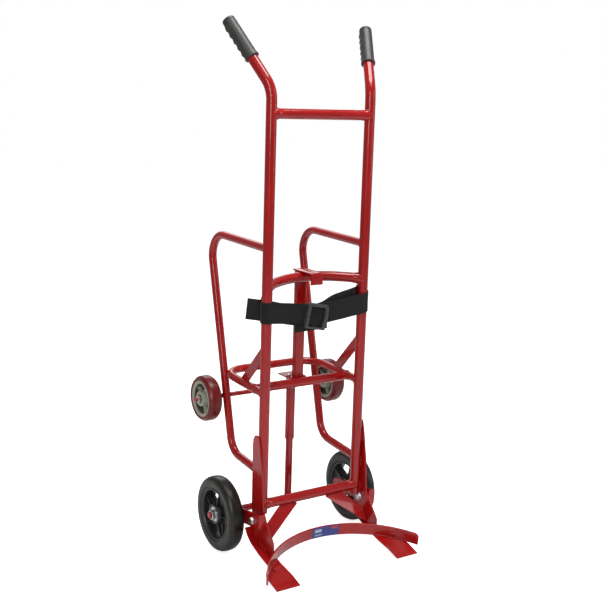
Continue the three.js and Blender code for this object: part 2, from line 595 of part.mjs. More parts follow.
const frontR = FRONT_WHEEL_DIA / 2;
const frontHalf = FRONT_WHEEL_WIDTH / 2;
const frontRim = FRONT_RIM_DIA / 2;
const frontTyre = turned([
  [frontRim + GAP, -frontHalf + 2], [frontRim + 4, -frontHalf], [frontR - 18, -frontHalf], [frontR - 7, -frontHalf + 4],
  [frontR - 1.5, -frontHalf + 11], [frontR, 0], [frontR - 1.5, frontHalf - 11],
  [frontR - 7, frontHalf - 4], [frontR - 18, frontHalf], [frontRim + 4, frontHalf], [frontRim + GAP, frontHalf - 2],
], 44, vec(0, 0, 0), vec(1, 0, 0));
const frontSeat = FRONT_BEARING_DIA / 2;
const frontHub = rimAndSpokes(
  [frontRim, frontRim - 6, FRONT_WHEEL_WIDTH - 6], [frontSeat + 4, frontSeat, FRONT_HUB_WIDTH], [5, 9, 12]);
const frontBearing = bushing(FRONT_AXLE_DIA, FRONT_BEARING_DIA, FRONT_HUB_WIDTH - 4, 18);

const rearR = REAR_WHEEL_DIA / 2;
const rearHalf = REAR_WHEEL_WIDTH / 2;
const rearRim = REAR_RIM_DIA / 2;
const rearTread = turned([
  [rearRim + GAP, -rearHalf], [rearR - 7, -rearHalf], [rearR - 1, -rearHalf + 9], [rearR, -rearHalf + 12],
  [rearR, rearHalf - 12], [rearR - 1, rearHalf - 9], [rearR - 7, rearHalf], [rearRim + GAP, rearHalf],
], 36, vec(0, 0, 0), vec(1, 0, 0));
const rearSeat = REAR_BUSH_DIA / 2;
const rearHub = rimAndSpokes(
  [rearRim, rearRim - 6, REAR_WHEEL_WIDTH - 4], [rearSeat + 5, rearSeat, REAR_HUB_WIDTH], [5, 7, 20]);
const rearBush = bushing(REAR_AXLE_DIA, REAR_BUSH_DIA, REAR_HUB_WIDTH + 2, 14);

for (const [name, side] of SIDES) {
  const frontAt = [side * FRONT_WHEEL_X, ...FRONT_AXLE];
  addPart(`front_${name}_tyre`, frontTyre.translate(frontAt), tyreRubber);
  addPart(`front_${name}_hub`, frontHub.translate(frontAt), hubPlastic);
  addPart(`front_${name}_bearing`, frontBearing.translate(frontAt), zinc);
  const rearAt = [side * REAR_WHEEL_X, ...REAR_AXLE];
  addPart(`rear_${name}_tread`, rearTread.translate(rearAt), treadUrethane);
  addPart(`rear_${name}_hub`, rearHub.translate(rearAt), greyHub);
  addPart(`rear_${name}_bush`, rearBush.translate(rearAt), hubPlastic);
}

function collar(outer, inner, xLow, xHigh) {
  return turned([[inner, xLow], [outer, xLow], [outer, xHigh], [inner, xHigh]], 16, vec(0, 0, 0), vec(1, 0, 0));
}
const frontAxle = rod(straight(vec(-FRONT_AXLE_HALF, ...FRONT_AXLE), vec(FRONT_AXLE_HALF, ...FRONT_AXLE)),
  FRONT_AXLE_DIA, 9);
addPart('front_axle', frontAxle, redPaint);

const rearWasherLow = REAR_WHEEL_X + REAR_HUB_WIDTH / 2 + 1 + 2 * GAP;
const pinX = rearWasherLow + WASHER_THICKNESS + 6.4;
const pinHole = rod(straight(vec(pinX, REAR_AXLE[0] - 20, REAR_AXLE[1]), vec(pinX, REAR_AXLE[0] + 20, REAR_AXLE[1])),
  3 + 2 * GAP, 4);
const rearAxle = rod(straight(vec(-REAR_AXLE_HALF, ...REAR_AXLE), vec(REAR_AXLE_HALF, ...REAR_AXLE)), REAR_AXLE_DIA, 7);
addPart('rear_axle', cut(rearAxle, [pinHole, mirrored(pinHole, -1), ...loopClearances]), redPaint);
const rearWasher = collar(rearSeat, REAR_AXLE_DIA / 2 + GAP, rearWasherLow, rearWasherLow + WASHER_THICKNESS)
  .translate([0, ...REAR_AXLE]);
const splitPin = rod(new BentPath([
  vec(pinX, REAR_AXLE[0] - 14, REAR_AXLE[1]), vec(pinX, REAR_AXLE[0] + 14, REAR_AXLE[1]),
], []), 3, 4);
for (const [name, side] of SIDES) {
  addPart(`rear_${name}_axle_washer`, mirrored(rearWasher, side), zinc);
  addPart(`rear_${name}_split_pin`, mirrored(splitPin, side), zinc);
}

// ---------------------------------------------------------------- centre post and sliding drum hook
const postBottom = FRONT_AXLE[1];
addPart('post_tube', cut(
  tube(straight(vec(0, POST_Y, postBottom), vec(0, POST_Y, POST_TOP)), POST_DIA, 8),
  [axleBore, mirrored(axleBore, -1)]), redPaint);

const footTop = SQUARE_BOTTOM - GAP;
const footBottom = footTop - FOOT_PLATE[1];
addPart('slider_round_tube', sweep(roundShape(SLEEVE_DIA / 2, POST_DIA / 2 + SLEEVE_CLEARANCE),
  straight(vec(0, POST_Y, SLEEVE_BOTTOM), vec(0, POST_Y, footBottom - GAP)), 9), redPaint);

const squareTop = HOOK_BOTTOM - GAP;
const squareCenter = (SQUARE_BOTTOM + squareTop) / 2;
const squareHeight = squareTop - SQUARE_BOTTOM;
const squareBore = SQUARE_SIZE.map((size) => size - 2 * TUBE_WALL);
const squareTube = box([0, SQUARE_Y, squareCenter], [...SQUARE_SIZE, squareHeight])
  .subtract(box([0, SQUARE_Y, squareCenter], [...squareBore, squareHeight + 2]));
addPart('slider_square_tube', squareTube, redPaint);

const footFront = HOOP_BAR_Y + HOOP_BAR_DIA / 2 + 2 * GAP;
const footDepth = POST_Y + SLEEVE_DIA / 2 - footFront;
const footPlate = box(
  [-8, footFront + footDepth / 2, footTop - FOOT_PLATE[1] / 2], [FOOT_PLATE[0], footDepth, FOOT_PLATE[1]]);
const lockAt = [-SQUARE_SIZE[0] / 2 - 14, SQUARE_Y + 5];
const lockHole = rod(straight(vec(...lockAt, footTop - 10), vec(...lockAt, footTop + 10)), LOCK_BOLT_DIA + 2 * GAP, 6);
addPart('slider_foot_plate', footPlate.subtract(lockHole), redPaint);
const lockShank = rod(straight(vec(...lockAt, footTop - 9), vec(...lockAt, footTop + 7)), LOCK_BOLT_DIA, 6);
const lockFlats = LOCK_BOLT_DIA + 5;
const lockHead = hexPrism(lockFlats, -5, 0, 0).rotate([0, -90, 0])
  .translate([...lockAt, footBottom - GAP]);
addPart('slider_lock_bolt', union([lockShank, lockHead]), zinc);
const lockNut = hexPrism(lockFlats, 0, 6, LOCK_BOLT_DIA / 2 + GAP).rotate([0, -90, 0])
  .translate([...lockAt, footTop + GAP]);
addPart('slider_lock_nut', lockNut, zinc);

const hookTop = HOOK_BOTTOM + HOOK_THICKNESS;
const hookSeatFront = HOOK_FRONT + HOOK_THICKNESS;
const hookOutline = [
  [HOOK_FRONT, HOOK_BOTTOM - HOOK_LIP], [hookSeatFront, HOOK_BOTTOM - HOOK_LIP],
  [hookSeatFront, HOOK_BOTTOM - HOOK_SEAT[1]], [hookSeatFront + HOOK_SEAT[0], HOOK_BOTTOM - HOOK_SEAT[1]],
  [hookSeatFront + HOOK_SEAT[0], HOOK_BOTTOM], [HOOK_REAR, HOOK_BOTTOM], [HOOK_REAR, hookTop],
  [HOOK_FRONT + 2, hookTop], [HOOK_FRONT, hookTop - 2],
];
addPart('drum_hook', sidePlate(hookOutline, -HOOK_WIDTH / 2, HOOK_WIDTH / 2), redPaint);

// ---------------------------------------------------------------- strap, buckle and strap keepers
// A webbing run: plan points with their own centre height, a constant width and thickness.
function strapRun(stations) {
  const half = STRAP_THICKNESS / 2;
  const rings = stations.map(([x, y, z], i) => {
    const [x0, y0] = stations[Math.max(i - 1, 0)];
    const [x1, y1] = stations[Math.min(i + 1, stations.length - 1)];
    const length = Math.hypot(x1 - x0, y1 - y0);
    const nx = -(y1 - y0) / length * half;
    const ny = (x1 - x0) / length * half;
    const w = STRAP_WIDTH / 2;
    return [
      vec(x + nx, y + ny, z - w), vec(x + nx, y + ny, z + w), vec(x - nx, y - ny, z + w), vec(x - nx, y - ny, z - w),
    ];
  });
  const index = [];
  for (let i = 0; i < rings.length - 1; i += 1) {
    for (let k = 0; k < 4; k += 1) {
      const a = 4 * i + k;
      const b = 4 * i + (k + 1) % 4;
      index.push(a, b, a + 4, b, b + 4, a + 4);
    }
  }
  const end = 4 * (rings.length - 1);
  index.push(0, 2, 1, 0, 3, 2, end, end + 1, end + 2, end, end + 2, end + 3);
  const geometry = new THREE.BufferGeometry().setFromPoints(rings.flat());
  geometry.setIndex(index);
  return flippedIfInside(geometry);
}

function aroundUpright(side, fromDeg, toDeg, fromZ, toZ, steps, radius) {
  return Array.from({ length: steps + 1 }, (unused, k) => {
    const angle = THREE.MathUtils.degToRad(fromDeg + (toDeg - fromDeg) * k / steps);
    const z = fromZ + (toZ - fromZ) * k / steps;
    return [side * HALF_SPAN + radius * Math.cos(angle), radius * Math.sin(angle), z];
  });
}
const wrapR = UPRIGHT_R + 2 * GAP + STRAP_THICKNESS / 2;
const [buckleX, buckleY, buckleZ] = BUCKLE_POS;
const buckleHalf = BUCKLE_SIZE[0] / 2;
const outerX = HALF_SPAN + wrapR;
const innerX = HALF_SPAN - UPRIGHT_R;
const frontLeftRun = [
  [-outerX - 4, 62, STRAP_Z - 1], [-outerX - 1, 30, STRAP_Z],
  ...aroundUpright(-1, 180, 270, STRAP_Z, STRAP_Z, 6, wrapR), [-110, -20, STRAP_Z - 5],
  [buckleX - buckleHalf - GAP - 0.5, buckleY + 1, buckleZ + 8],
];
addPart('strap_front_left', strapRun(frontLeftRun), webbing);
const frontRightRun = [
  [buckleX + buckleHalf + GAP + 0.5, buckleY + 1, buckleZ + 8], [85, -21, STRAP_Z - 9],
  ...aroundUpright(1, 270, 500, STRAP_Z, STRAP_BACK_Z, 12, wrapR), [innerX - 13, 0, STRAP_BACK_Z],
  [innerX - 38, -7, STRAP_BACK_Z - 3], [80, -10.5, STRAP_BACK_Z - 8], [48, -12.5, STRAP_BACK_Z - 15],
  [10, -14, buckleZ + 6], [-40, -14, buckleZ - 9], [-80, -14, buckleZ - 13],
];
addPart('strap_front_right', strapRun(frontRightRun), webbing);
const backRun = [
  [-outerX + 4, 44, STRAP_Z - 1], [-outerX + 6, 25, STRAP_Z - 1], [-HALF_SPAN, UPRIGHT_R + 4.5, STRAP_Z - 2],
  [-innerX, UPRIGHT_R + 2, STRAP_Z - 4], [-innerX + 14, 9, STRAP_Z - 6],
  [-106, -3, STRAP_Z - 12], [-70, -9.8, STRAP_Z - 17], [4, -9.8, buckleZ + 2],
];
addPart('strap_back', strapRun(backRun), webbing);

const buckleBlock = box([buckleX, buckleY - 1, buckleZ], BUCKLE_SIZE);
const bucklePocket = box([buckleX, buckleY - BUCKLE_SIZE[1] / 2, buckleZ], [BUCKLE_SIZE[0] - 22, 8, BUCKLE_SIZE[2] - 16]);
addPart('strap_buckle', buckleBlock.subtract(bucklePocket), bucklePlastic);

const keeperHeights = [STRAP_Z, STRAP_BACK_Z];
const keeperBack = UPRIGHT_R + KEEPER_DEPTH;
SIDES.forEach(([name, side], i) => {
  const x = side * HALF_SPAN;
  const z = keeperHeights[i];
  const keeperPath = new BentPath(
    [vec(x, 10, z + 38), vec(x, keeperBack, z + 38), vec(x, keeperBack, z - 38), vec(x, 10, z - 38)], [5, 5], 3);
  addPart(`${name}_strap_keeper`, cut(rod(keeperPath, KEEPER_WIRE, 5), uprightClearances), redPaint);
});

// ---------------------------------------------------------------- standing position
// The dolly rests on its load wheels and toe tips, which tips the whole frame slightly forward.
const toeContact = [toeTip[0], toeTip[1] - TOE_TIP_THICKNESS];
const rise = FRONT_AXLE[1] - toeContact[1];
const run = FRONT_AXLE[0] - toeContact[0];
const lean = Math.asin(frontR / Math.hypot(rise, run)) - Math.atan2(rise, run);
assembly.rotation.x = lean;
assembly.updateMatrixWorld(true);
const bounds = new THREE.Box3().setFromObject(assembly, true);
const middle = bounds.getCenter(vec(0, 0, 0));
assembly.position.set(-middle.x, -middle.y, -bounds.min.z);
assembly.updateMatrixWorld(true);

export default assembly;
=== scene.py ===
import json
import math

import bmesh
import bpy
import numpy as np
from mathutils import Matrix, Vector


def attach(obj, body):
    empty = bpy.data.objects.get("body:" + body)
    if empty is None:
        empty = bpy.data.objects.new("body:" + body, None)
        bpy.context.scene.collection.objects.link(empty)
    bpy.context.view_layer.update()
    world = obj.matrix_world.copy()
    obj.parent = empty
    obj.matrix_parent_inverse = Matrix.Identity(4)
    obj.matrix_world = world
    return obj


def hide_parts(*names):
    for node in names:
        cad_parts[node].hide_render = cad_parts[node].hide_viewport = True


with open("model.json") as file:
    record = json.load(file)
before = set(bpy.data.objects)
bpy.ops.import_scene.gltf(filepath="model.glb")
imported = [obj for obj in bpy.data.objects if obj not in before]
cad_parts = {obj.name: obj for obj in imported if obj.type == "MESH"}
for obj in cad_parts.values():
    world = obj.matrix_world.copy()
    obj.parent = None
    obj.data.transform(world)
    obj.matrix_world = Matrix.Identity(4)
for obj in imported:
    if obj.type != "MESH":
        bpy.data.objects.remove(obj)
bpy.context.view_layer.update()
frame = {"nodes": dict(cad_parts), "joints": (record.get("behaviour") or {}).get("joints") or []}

# ---------- standing place of the dolly
# The dolly stands on its load wheels and toe tips, so its uprights lean a little to the drum side.
# Each piece below is drawn in millimetres with the uprights plumb, then turned and moved to that place.
joints = {joint["name"]: joint for joint in frame["joints"]}
slide_axis = joints["hook_slide"]["axis"]
LEAN = math.atan2(-slide_axis[1], slide_axis[2])
TURN = np.array([[1, 0, 0], [0, math.cos(LEAN), -math.sin(LEAN)], [0, math.sin(LEAN), math.cos(LEAN)]])
FRONT_AXLE = np.array([0.0, 120.0, 99.5])
FRONT_WHEEL_X = 237.0
FOOT = np.array(joints["front_left_wheel_spin"]["pos_m"]) - TURN @ (FRONT_AXLE - [FRONT_WHEEL_X, 0, 0]) / 1000


def placed(points):
    """Plumb millimetres to standing metres: turn about X by the lean, then shift to the foot of the dolly."""
    return np.asarray(points, float) @ TURN.T / 1000 + FOOT


# ---------- studio: camera, pale floor and soft boxes
# A pale floor that is as bright as the air behind it, a tall soft box on the left, a square one overhead,
# and two weaker ones on the right and behind to open the shadows.
CAMERA_AT = [-1632.842, -2395.871, 1312.843]
CAMERA_TURN, CAMERA_DROP, CAMERA_ROLL = -0.586437, 0.197338, 0.0306995
CAMERA_SENSOR, CAMERA_LENS = 36, 60.841338
scene = bpy.context.scene
back = np.array([math.sin(CAMERA_TURN) * math.cos(CAMERA_DROP),
                 -math.cos(CAMERA_TURN) * math.cos(CAMERA_DROP), math.sin(CAMERA_DROP)])
level = np.array([math.cos(CAMERA_TURN), math.sin(CAMERA_TURN), 0])
upward = np.cross(back, level)
right = level * math.cos(CAMERA_ROLL) + upward * math.sin(CAMERA_ROLL)
upward = np.cross(back, right)
camera = bpy.data.objects.new("camera", bpy.data.cameras.new("camera"))
camera.data.lens = CAMERA_LENS
camera.data.sensor_width = CAMERA_SENSOR
view_axes = TURN @ np.column_stack([right, upward, back])
camera.matrix_world = Matrix.Translation(Vector(placed(CAMERA_AT))) @ Matrix(view_axes.tolist()).to_4x4()
scene.collection.objects.link(camera)
scene.camera = camera
scene.view_settings.view_transform = "Standard"


def node_in(tree, kind, inputs=(), **settings):
    """Adds a node; each input is either a value or another node's output."""
    node = tree.nodes.new("ShaderNode" + kind)
    for key, value in settings.items():
        setattr(node, key, value)
    for key, value in dict(inputs).items():
        if isinstance(value, bpy.types.NodeSocket):
            tree.links.new(value, node.inputs[key])
        else:
            node.inputs[key].default_value = value
    return node


FLOOR_HALF, FLOOR_GLOW = 20, 0.8
AIR_LIGHT, AIR_SEEN = 0.28, 1.0
floor_corners = [(x * FLOOR_HALF, y * FLOOR_HALF, 0) for x, y in [(-1, -1), (1, -1), (1, 1), (-1, 1)]]
floor_mesh = bpy.data.meshes.new("floor")
floor_mesh.from_pydata(floor_corners, [], [(0, 1, 2, 3)])
floor = bpy.data.objects.new("floor", floor_mesh)
scene.collection.objects.link(floor)
floor_paint = bpy.data.materials.new("floor_paint")
floor_paint.use_nodes = True
floor_shader = floor_paint.node_tree.nodes["Principled BSDF"]
floor_shader.inputs["Base Color"].default_value = (0.86, 0.86, 0.86, 1)
floor_shader.inputs["Roughness"].default_value = 0.75
floor_shader.inputs["Emission Color"].default_value = (1, 1, 1, 1)
floor_seen = node_in(floor_paint.node_tree, "LightPath").outputs["Is Camera Ray"]
floor_glow = node_in(floor_paint.node_tree, "Math", {0: floor_seen, 1: FLOOR_GLOW}, operation="MULTIPLY")
floor_paint.node_tree.links.new(floor_glow.outputs[0], floor_shader.inputs["Emission Strength"])
floor_mesh.materials.append(floor_paint)

world = bpy.data.worlds.new("studio")
world.use_nodes = True
scene.world = world
air = world.node_tree.nodes["Background"]
air.inputs["Color"].default_value = (1, 1, 1, 1)
air_seen = node_in(world.node_tree, "LightPath").outputs["Is Camera Ray"]
level_of_air = node_in(world.node_tree, "MapRange",
                       {"Value": air_seen, "To Min": AIR_LIGHT, "To Max": AIR_SEEN})
world.node_tree.links.new(level_of_air.outputs["Result"], air.inputs["Strength"])

AIM = Vector((0, 0, 0.75))
LAMPS = [("key", (-2.6, -2.6, 2.2), (0.6, 2.6), 54), ("top", (0.3, -0.5, 3.6), (1.6, 1.6), 92),
         ("fill", (3.0, -2.2, 1.8), (0.8, 2.2), 16), ("rear", (1.2, 3.2, 2.6), (2.4, 2.0), 26)]
for label, at, size, power in LAMPS:
    lamp = bpy.data.lights.new(label, "AREA")
    lamp.shape = "RECTANGLE"
    lamp.size, lamp.size_y = size
    lamp.energy = power
    lamp_object = bpy.data.objects.new(label, lamp)
    lamp_object.location = at
    lamp_object.rotation_euler = (AIM - Vector(at)).to_track_quat("-Z", "Y").to_euler()
    scene.collection.objects.link(lamp_object)

# ---------- uprights
# Two 30 mm steel tubes with a 2 mm wall, bent back and outwards at the top to take the grips.
# They are powder coated in gloss red with the rest of the welded frame.
X, Y, Z = np.eye(3)
HALF_SPAN = 165
UPRIGHT_R, UPRIGHT_WALL = 15, 2
SIDES = {"left": -1, "right": 1}
UPRIGHT_FOOT, HANDLE_BEND, HANDLE_BEND_RADIUS = 130, 1337, 90
GRIP_START, GRIP_LENGTH, GRIP_END_WALL = 101.6, 130, 7
HANDLE_WAY = np.array([0.288, 0.557, 0.779]) / np.linalg.norm([0.288, 0.557, 0.779])


def unit(vectors):
    """Each vector divided by its own length."""
    vectors = np.asarray(vectors, float)
    return vectors / np.linalg.norm(vectors, axis=-1, keepdims=True)


def rounded(corners, radii, steps=10, closed=False):
    """A line through the corners, each corner replaced with an arc of its radius that touches both legs:
    start + radius * (sin a * first leg + (1 - cos a) * inward), for a from 0 to the turn."""
    corners = np.asarray(corners, float)
    radii = np.broadcast_to(radii, len(corners))
    pieces = []
    for i, corner in enumerate(corners):
        first, second = unit(corner - corners[i - 1]), unit(corners[(i + 1) % len(corners)] - corner)
        turn = math.acos(np.clip(first @ second, -1, 1))
        if (not closed and i in (0, len(corners) - 1)) or turn < 1e-4 or radii[i] == 0:
            pieces.append(corner[None])
            continue
        inward = unit(second - first * (first @ second))
        angle = np.linspace(0, turn, steps + 1)[:, None]
        start = corner - first * radii[i] * math.tan(turn / 2)
        pieces.append(start + radii[i] * (first * np.sin(angle) + inward * (1 - np.cos(angle))))
    return np.vstack(pieces)


def round_turn(count):
    """Angles evenly spaced round a full turn, the last one step short of it."""
    return np.linspace(0, 2 * math.pi, count, endpoint=False)


def sweep(path, side, radius, around=32, closed=False):
    """Rings round a path: path + radius * (cos a * side + sin a * along x side)."""
    path = np.asarray(path, float)
    along = np.roll(path, -1, 0) - np.roll(path, 1, 0) if closed else np.gradient(path, axis=0)
    along = unit(along)
    side = np.broadcast_to(side, path.shape)
    side = unit(side - along * (side * along).sum(1, keepdims=True))
    across = np.cross(along, side)
    angle = round_turn(around)[None, :, None]
    radius = np.broadcast_to(radius, len(path))[:, None, None]
    return path[:, None] + radius * (np.cos(angle) * side[:, None] + np.sin(angle) * across[:, None])


def capped(rings):
    """Rings with both ends closed: the first and last ring are drawn in to their own middles."""
    shut = [np.repeat(ring.mean(0, keepdims=True), rings.shape[1], 0)[None] for ring in (rings[0], rings[-1])]
    return np.concatenate([shut[0], rings, shut[1]])


def bar(path, side, radius, around=32):
    """A solid round bar along a path: capped rings, open along the path, closed round it."""
    return capped(sweep(path, side, radius, around)), False, True


def pipe(path, side, radius, bore, around=36):
    """A tube with a wall: outer rings out along the path and inner rings back, closed both ways."""
    outer, inner = sweep(path, side, radius, around), sweep(path, side, bore, around)
    return np.concatenate([outer, inner[::-1]]), True, True


def make_piece(name, shells, material, body, stands_for=(), sharp=38, across=None):
    """One mesh from grids of points, each closed or open along its rows and along its columns: every four
    neighbouring points make a face, and points that fall together are merged."""
    points, faces, first = [], [], 0
    for grid, rows_close, columns_close in shells:
        index = np.arange(grid.shape[0] * grid.shape[1]).reshape(grid.shape[:2]) + first
        first += index.size
        if rows_close:
            index = np.vstack([index, index[:1]])
        if columns_close:
            index = np.hstack([index, index[:, :1]])
        corners = [index[:-1, :-1], index[1:, :-1], index[1:, 1:], index[:-1, 1:]]
        faces.append(np.stack(corners, -1).reshape(-1, 4))
        points.append(grid.reshape(-1, 3))
    mesh = bpy.data.meshes.new(name)
    mesh.from_pydata(placed(np.vstack(points)).tolist(), [], np.vstack(faces).tolist())
    if across is not None:
        layer = mesh.uv_layers.new(name="cloth")
        used = np.zeros(len(mesh.loops), int)
        mesh.loops.foreach_get("vertex_index", used)
        layer.data.foreach_set("uv", across[used].astype(np.float32).ravel())
    work = bmesh.new()
    work.from_mesh(mesh)
    bmesh.ops.remove_doubles(work, verts=work.verts, dist=2e-6)
    bmesh.ops.recalc_face_normals(work, faces=work.faces)
    work.to_mesh(mesh)
    work.free()
    mesh.shade_smooth()
    mesh.set_sharp_from_angle(angle=math.radians(sharp))
    piece = bpy.data.objects.new(name, mesh)
    scene.collection.objects.link(piece)
    mesh.materials.append(material)
    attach(piece, body)
    if stands_for:
        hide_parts(*stands_for)


# Fine grain and slow drift of tone, read from the dolly's own space, for every finish on it.
surface_grain = bpy.data.node_groups.new("surface_grain", "ShaderNodeTree")
for key, value in [("Fine", 400.0), ("Slow", 12.0)]:
    socket = surface_grain.interface.new_socket(key, in_out="INPUT", socket_type="NodeSocketFloat")
    socket.default_value = value
for key in ("Height", "Tone"):
    surface_grain.interface.new_socket(key, in_out="OUTPUT", socket_type="NodeSocketFloat")
inlet = surface_grain.nodes.new("NodeGroupInput")
outlet = surface_grain.nodes.new("NodeGroupOutput")
own_space = surface_grain.nodes.new("ShaderNodeTexCoord").outputs["Object"]
fine_noise = node_in(surface_grain, "TexNoise",
                     {"Vector": own_space, "Scale": inlet.outputs["Fine"], "Detail": 3.0})
slow_noise = node_in(surface_grain, "TexNoise",
                     {"Vector": own_space, "Scale": inlet.outputs["Slow"], "Detail": 4.0, "Roughness": 0.6})
spread = node_in(surface_grain, "MapRange",
                 {"Value": slow_noise.outputs["Fac"], "From Min": 0.3, "From Max": 0.7})
surface_grain.links.new(fine_noise.outputs["Fac"], outlet.inputs["Height"])
surface_grain.links.new(spread.outputs["Result"], outlet.inputs["Tone"])
# A Mix node's colour sockets, which share their names with its other sockets and so go by number.
MIX_A, MIX_B, MIX_RESULT = 6, 7, 2


def finish(name, dark, light, rough, fine, slow, depth, **constants):
    """A material whose colour drifts from dark to light and whose roughness drifts between two values, with a
    fine grain as a bump; depth is the bump's height in metres."""
    material = bpy.data.materials.new(name)
    material.use_nodes = True
    tree = material.node_tree
    shader = tree.nodes["Principled BSDF"]
    grain = node_in(tree, "Group", {"Fine": fine, "Slow": slow}, node_tree=surface_grain)
    tone = node_in(tree, "Mix", {"Factor": grain.outputs["Tone"], MIX_A: (*dark, 1), MIX_B: (*light, 1)},
                   data_type="RGBA")
    tree.links.new(tone.outputs[MIX_RESULT], shader.inputs["Base Color"])
    sheen = node_in(tree, "MapRange",
                    {"Value": grain.outputs["Tone"], "To Min": rough[0], "To Max": rough[1]})
    tree.links.new(sheen.outputs["Result"], shader.inputs["Roughness"])
    relief = node_in(tree, "Bump",
                     {"Height": grain.outputs["Height"], "Strength": 1.0, "Distance": depth})
    tree.links.new(relief.outputs["Normal"], shader.inputs["Normal"])
    for key, value in constants.items():
        shader.inputs[key.replace("_", " ")].default_value = value
    return material


red_paint = finish("red_paint", (0.29, 0.0030, 0.0034), (0.36, 0.0044, 0.0048), (0.19, 0.26), 190, 9, 0.00003,
                   Specular_IOR_Level=0.32, Coat_Weight=0.4, Coat_Roughness=0.05)


def red_steel(name, shells, nodes=(), body="frame", sharp=38):
    """A piece of the red coated steelwork, standing for the named CAD nodes."""
    make_piece(name, shells, red_paint, body, nodes, sharp)


handle_top = HALF_SPAN * X + HANDLE_BEND * Z
handle_end = handle_top + (GRIP_START + GRIP_LENGTH - GRIP_END_WALL - 1) * HANDLE_WAY
bend_normal = unit(np.cross(Z, HANDLE_WAY))
for name, side in SIDES.items():
    flip = np.array([side, 1, 1])
    path = rounded([HALF_SPAN * X + UPRIGHT_FOOT * Z, handle_top, handle_end], HANDLE_BEND_RADIUS, 20) * flip
    tube = pipe(path, bend_normal * [1, side, side], UPRIGHT_R, UPRIGHT_R - UPRIGHT_WALL)
    red_steel(f"{name}_upright_tube", [tube], [f"{name}_upright"])

# ---------- grips
# Dark grey moulded rubber sleeves with a collar at the foot, five finger swells underneath and a domed end.
# They are pushed on the handles and hold by their grip on the tube.
GRIP_R, GRIP_COLLAR, GRIP_BORE = 18.6, 2.2, 15.2
SWELL, SWELL_FIRST, SWELL_PITCH, SWELL_RUN = 4.6, 22, 21, 6.6
SLEEVE_FROM, SLEEVE_TO, ROUND_GRIP = 16, 116, 56
grip_rubber = finish("grip_rubber", (0.026, 0.026, 0.0245), (0.040, 0.040, 0.037), (0.42, 0.54),
                     900, 30, 0.00005)


def grip_surface(start, way, up):
    """Radius along and round the handle: the sleeve's profile, plus five bell curves of the station that fade
    with the facing-down part of the angle to the power 1.6."""
    collar = GRIP_R + GRIP_COLLAR
    profile = rounded([[GRIP_BORE, 0], [collar, 0], [collar, 4.6], [GRIP_R + 0.4, 8.4], [GRIP_R, SLEEVE_FROM],
                       [GRIP_R, 118], [GRIP_R - 1, 119.4], [GRIP_R - 1, 121], [GRIP_R - 0.3, 122.4],
                       [GRIP_R - 0.3, GRIP_LENGTH], [0, GRIP_LENGTH + 0.9]],
                      [0, 1.0, 1.1, 3, 3, 1, 0.6, 0.6, 1, 5, 0], 6)
    low, high = profile[profile[:, 1] < SLEEVE_FROM], profile[profile[:, 1] > SLEEVE_TO]
    sleeve = np.linspace([GRIP_R, SLEEVE_FROM], [GRIP_R, SLEEVE_TO], 90)
    radius, station = np.vstack([low, sleeve, high]).T
    angle = round_turn(ROUND_GRIP)
    swells = sum(np.exp(-((station - (SWELL_FIRST + SWELL_PITCH * k)) / SWELL_RUN) ** 2) for k in range(5))
    under = np.clip(-np.cos(angle), 0, 1) ** 1.6
    reach = radius[:, None] + SWELL * swells[:, None] * under[None]
    across = np.cross(way, up)
    ring = np.cos(angle)[:, None] * up + np.sin(angle)[:, None] * across
    return start + station[:, None, None] * way + reach[..., None] * ring[None]


grip_start = handle_top + GRIP_START * HANDLE_WAY
grip_up = np.array([0, -HANDLE_WAY[2], HANDLE_WAY[1]])
grip_up = unit(grip_up - HANDLE_WAY * (grip_up @ HANDLE_WAY))
for name, side in SIDES.items():
    outer = grip_surface(grip_start, HANDLE_WAY, grip_up) * [side, 1, 1]
    depth = HANDLE_WAY * (GRIP_LENGTH - GRIP_END_WALL)
    bore = sweep(np.array([grip_start, grip_start + depth]), grip_up, GRIP_BORE, ROUND_GRIP) * [side, 1, 1]
    back_wall = np.repeat(bore[-1].mean(0)[None], ROUND_GRIP, 0)[None]
    rows = np.concatenate([back_wall, bore[::-1], outer])
    make_piece(f"{name}_grip_sleeve", [(rows, False, True)], grip_rubber, "frame", [f"{name}_grip"])

# ---------- cross tubes
# Two straight steel tubes high and low between the uprights, and one bowed back to clear the drum.
# Their ends are pressed on the uprights and welded all round.
UPPER_CROSS, LOWER_CROSS = 1271, 155.6
CURVED_CROSS, CURVED_BOW, CURVED_RISE = 797, 59, 8
FLARE, FLARE_RUN = 0.13, 8


def flared(x, radius, host_face):
    """A tube's radius, opened a little where it was pressed and welded on:
    radius * (1 + flare * exp(-(distance / run)^2))."""
    return radius * (1 + FLARE * np.exp(-(np.clip(host_face - np.abs(x), 0, None) / FLARE_RUN) ** 2))


x = np.concatenate([np.linspace(-HALF_SPAN, -125, 21), np.linspace(125, HALF_SPAN, 21)])
for name, height in [("upper", UPPER_CROSS), ("lower", LOWER_CROSS)]:
    line = np.column_stack([x, 0 * x, 0 * x + height])
    tube = bar(line, Z, flared(x, UPRIGHT_R - 0.4, HALF_SPAN - UPRIGHT_R), 36)
    red_steel(f"{name}_cross_bar", [tube], [f"{name}_cross_tube"])
t = np.linspace(-1, 1, 81)[:, None]
curved_path = t * HALF_SPAN * X + (1 - t * t) * (CURVED_BOW * Y + CURVED_RISE * Z) + CURVED_CROSS * Z
curved_normal = unit(np.cross(X, CURVED_BOW * Y + CURVED_RISE * Z))
curved_radius = flared(curved_path[:, 0], UPRIGHT_R - 0.3, HALF_SPAN - UPRIGHT_R)
red_steel("curved_cross_bar", [bar(curved_path, curved_normal, curved_radius, 36)], ["curved_cross_tube"])

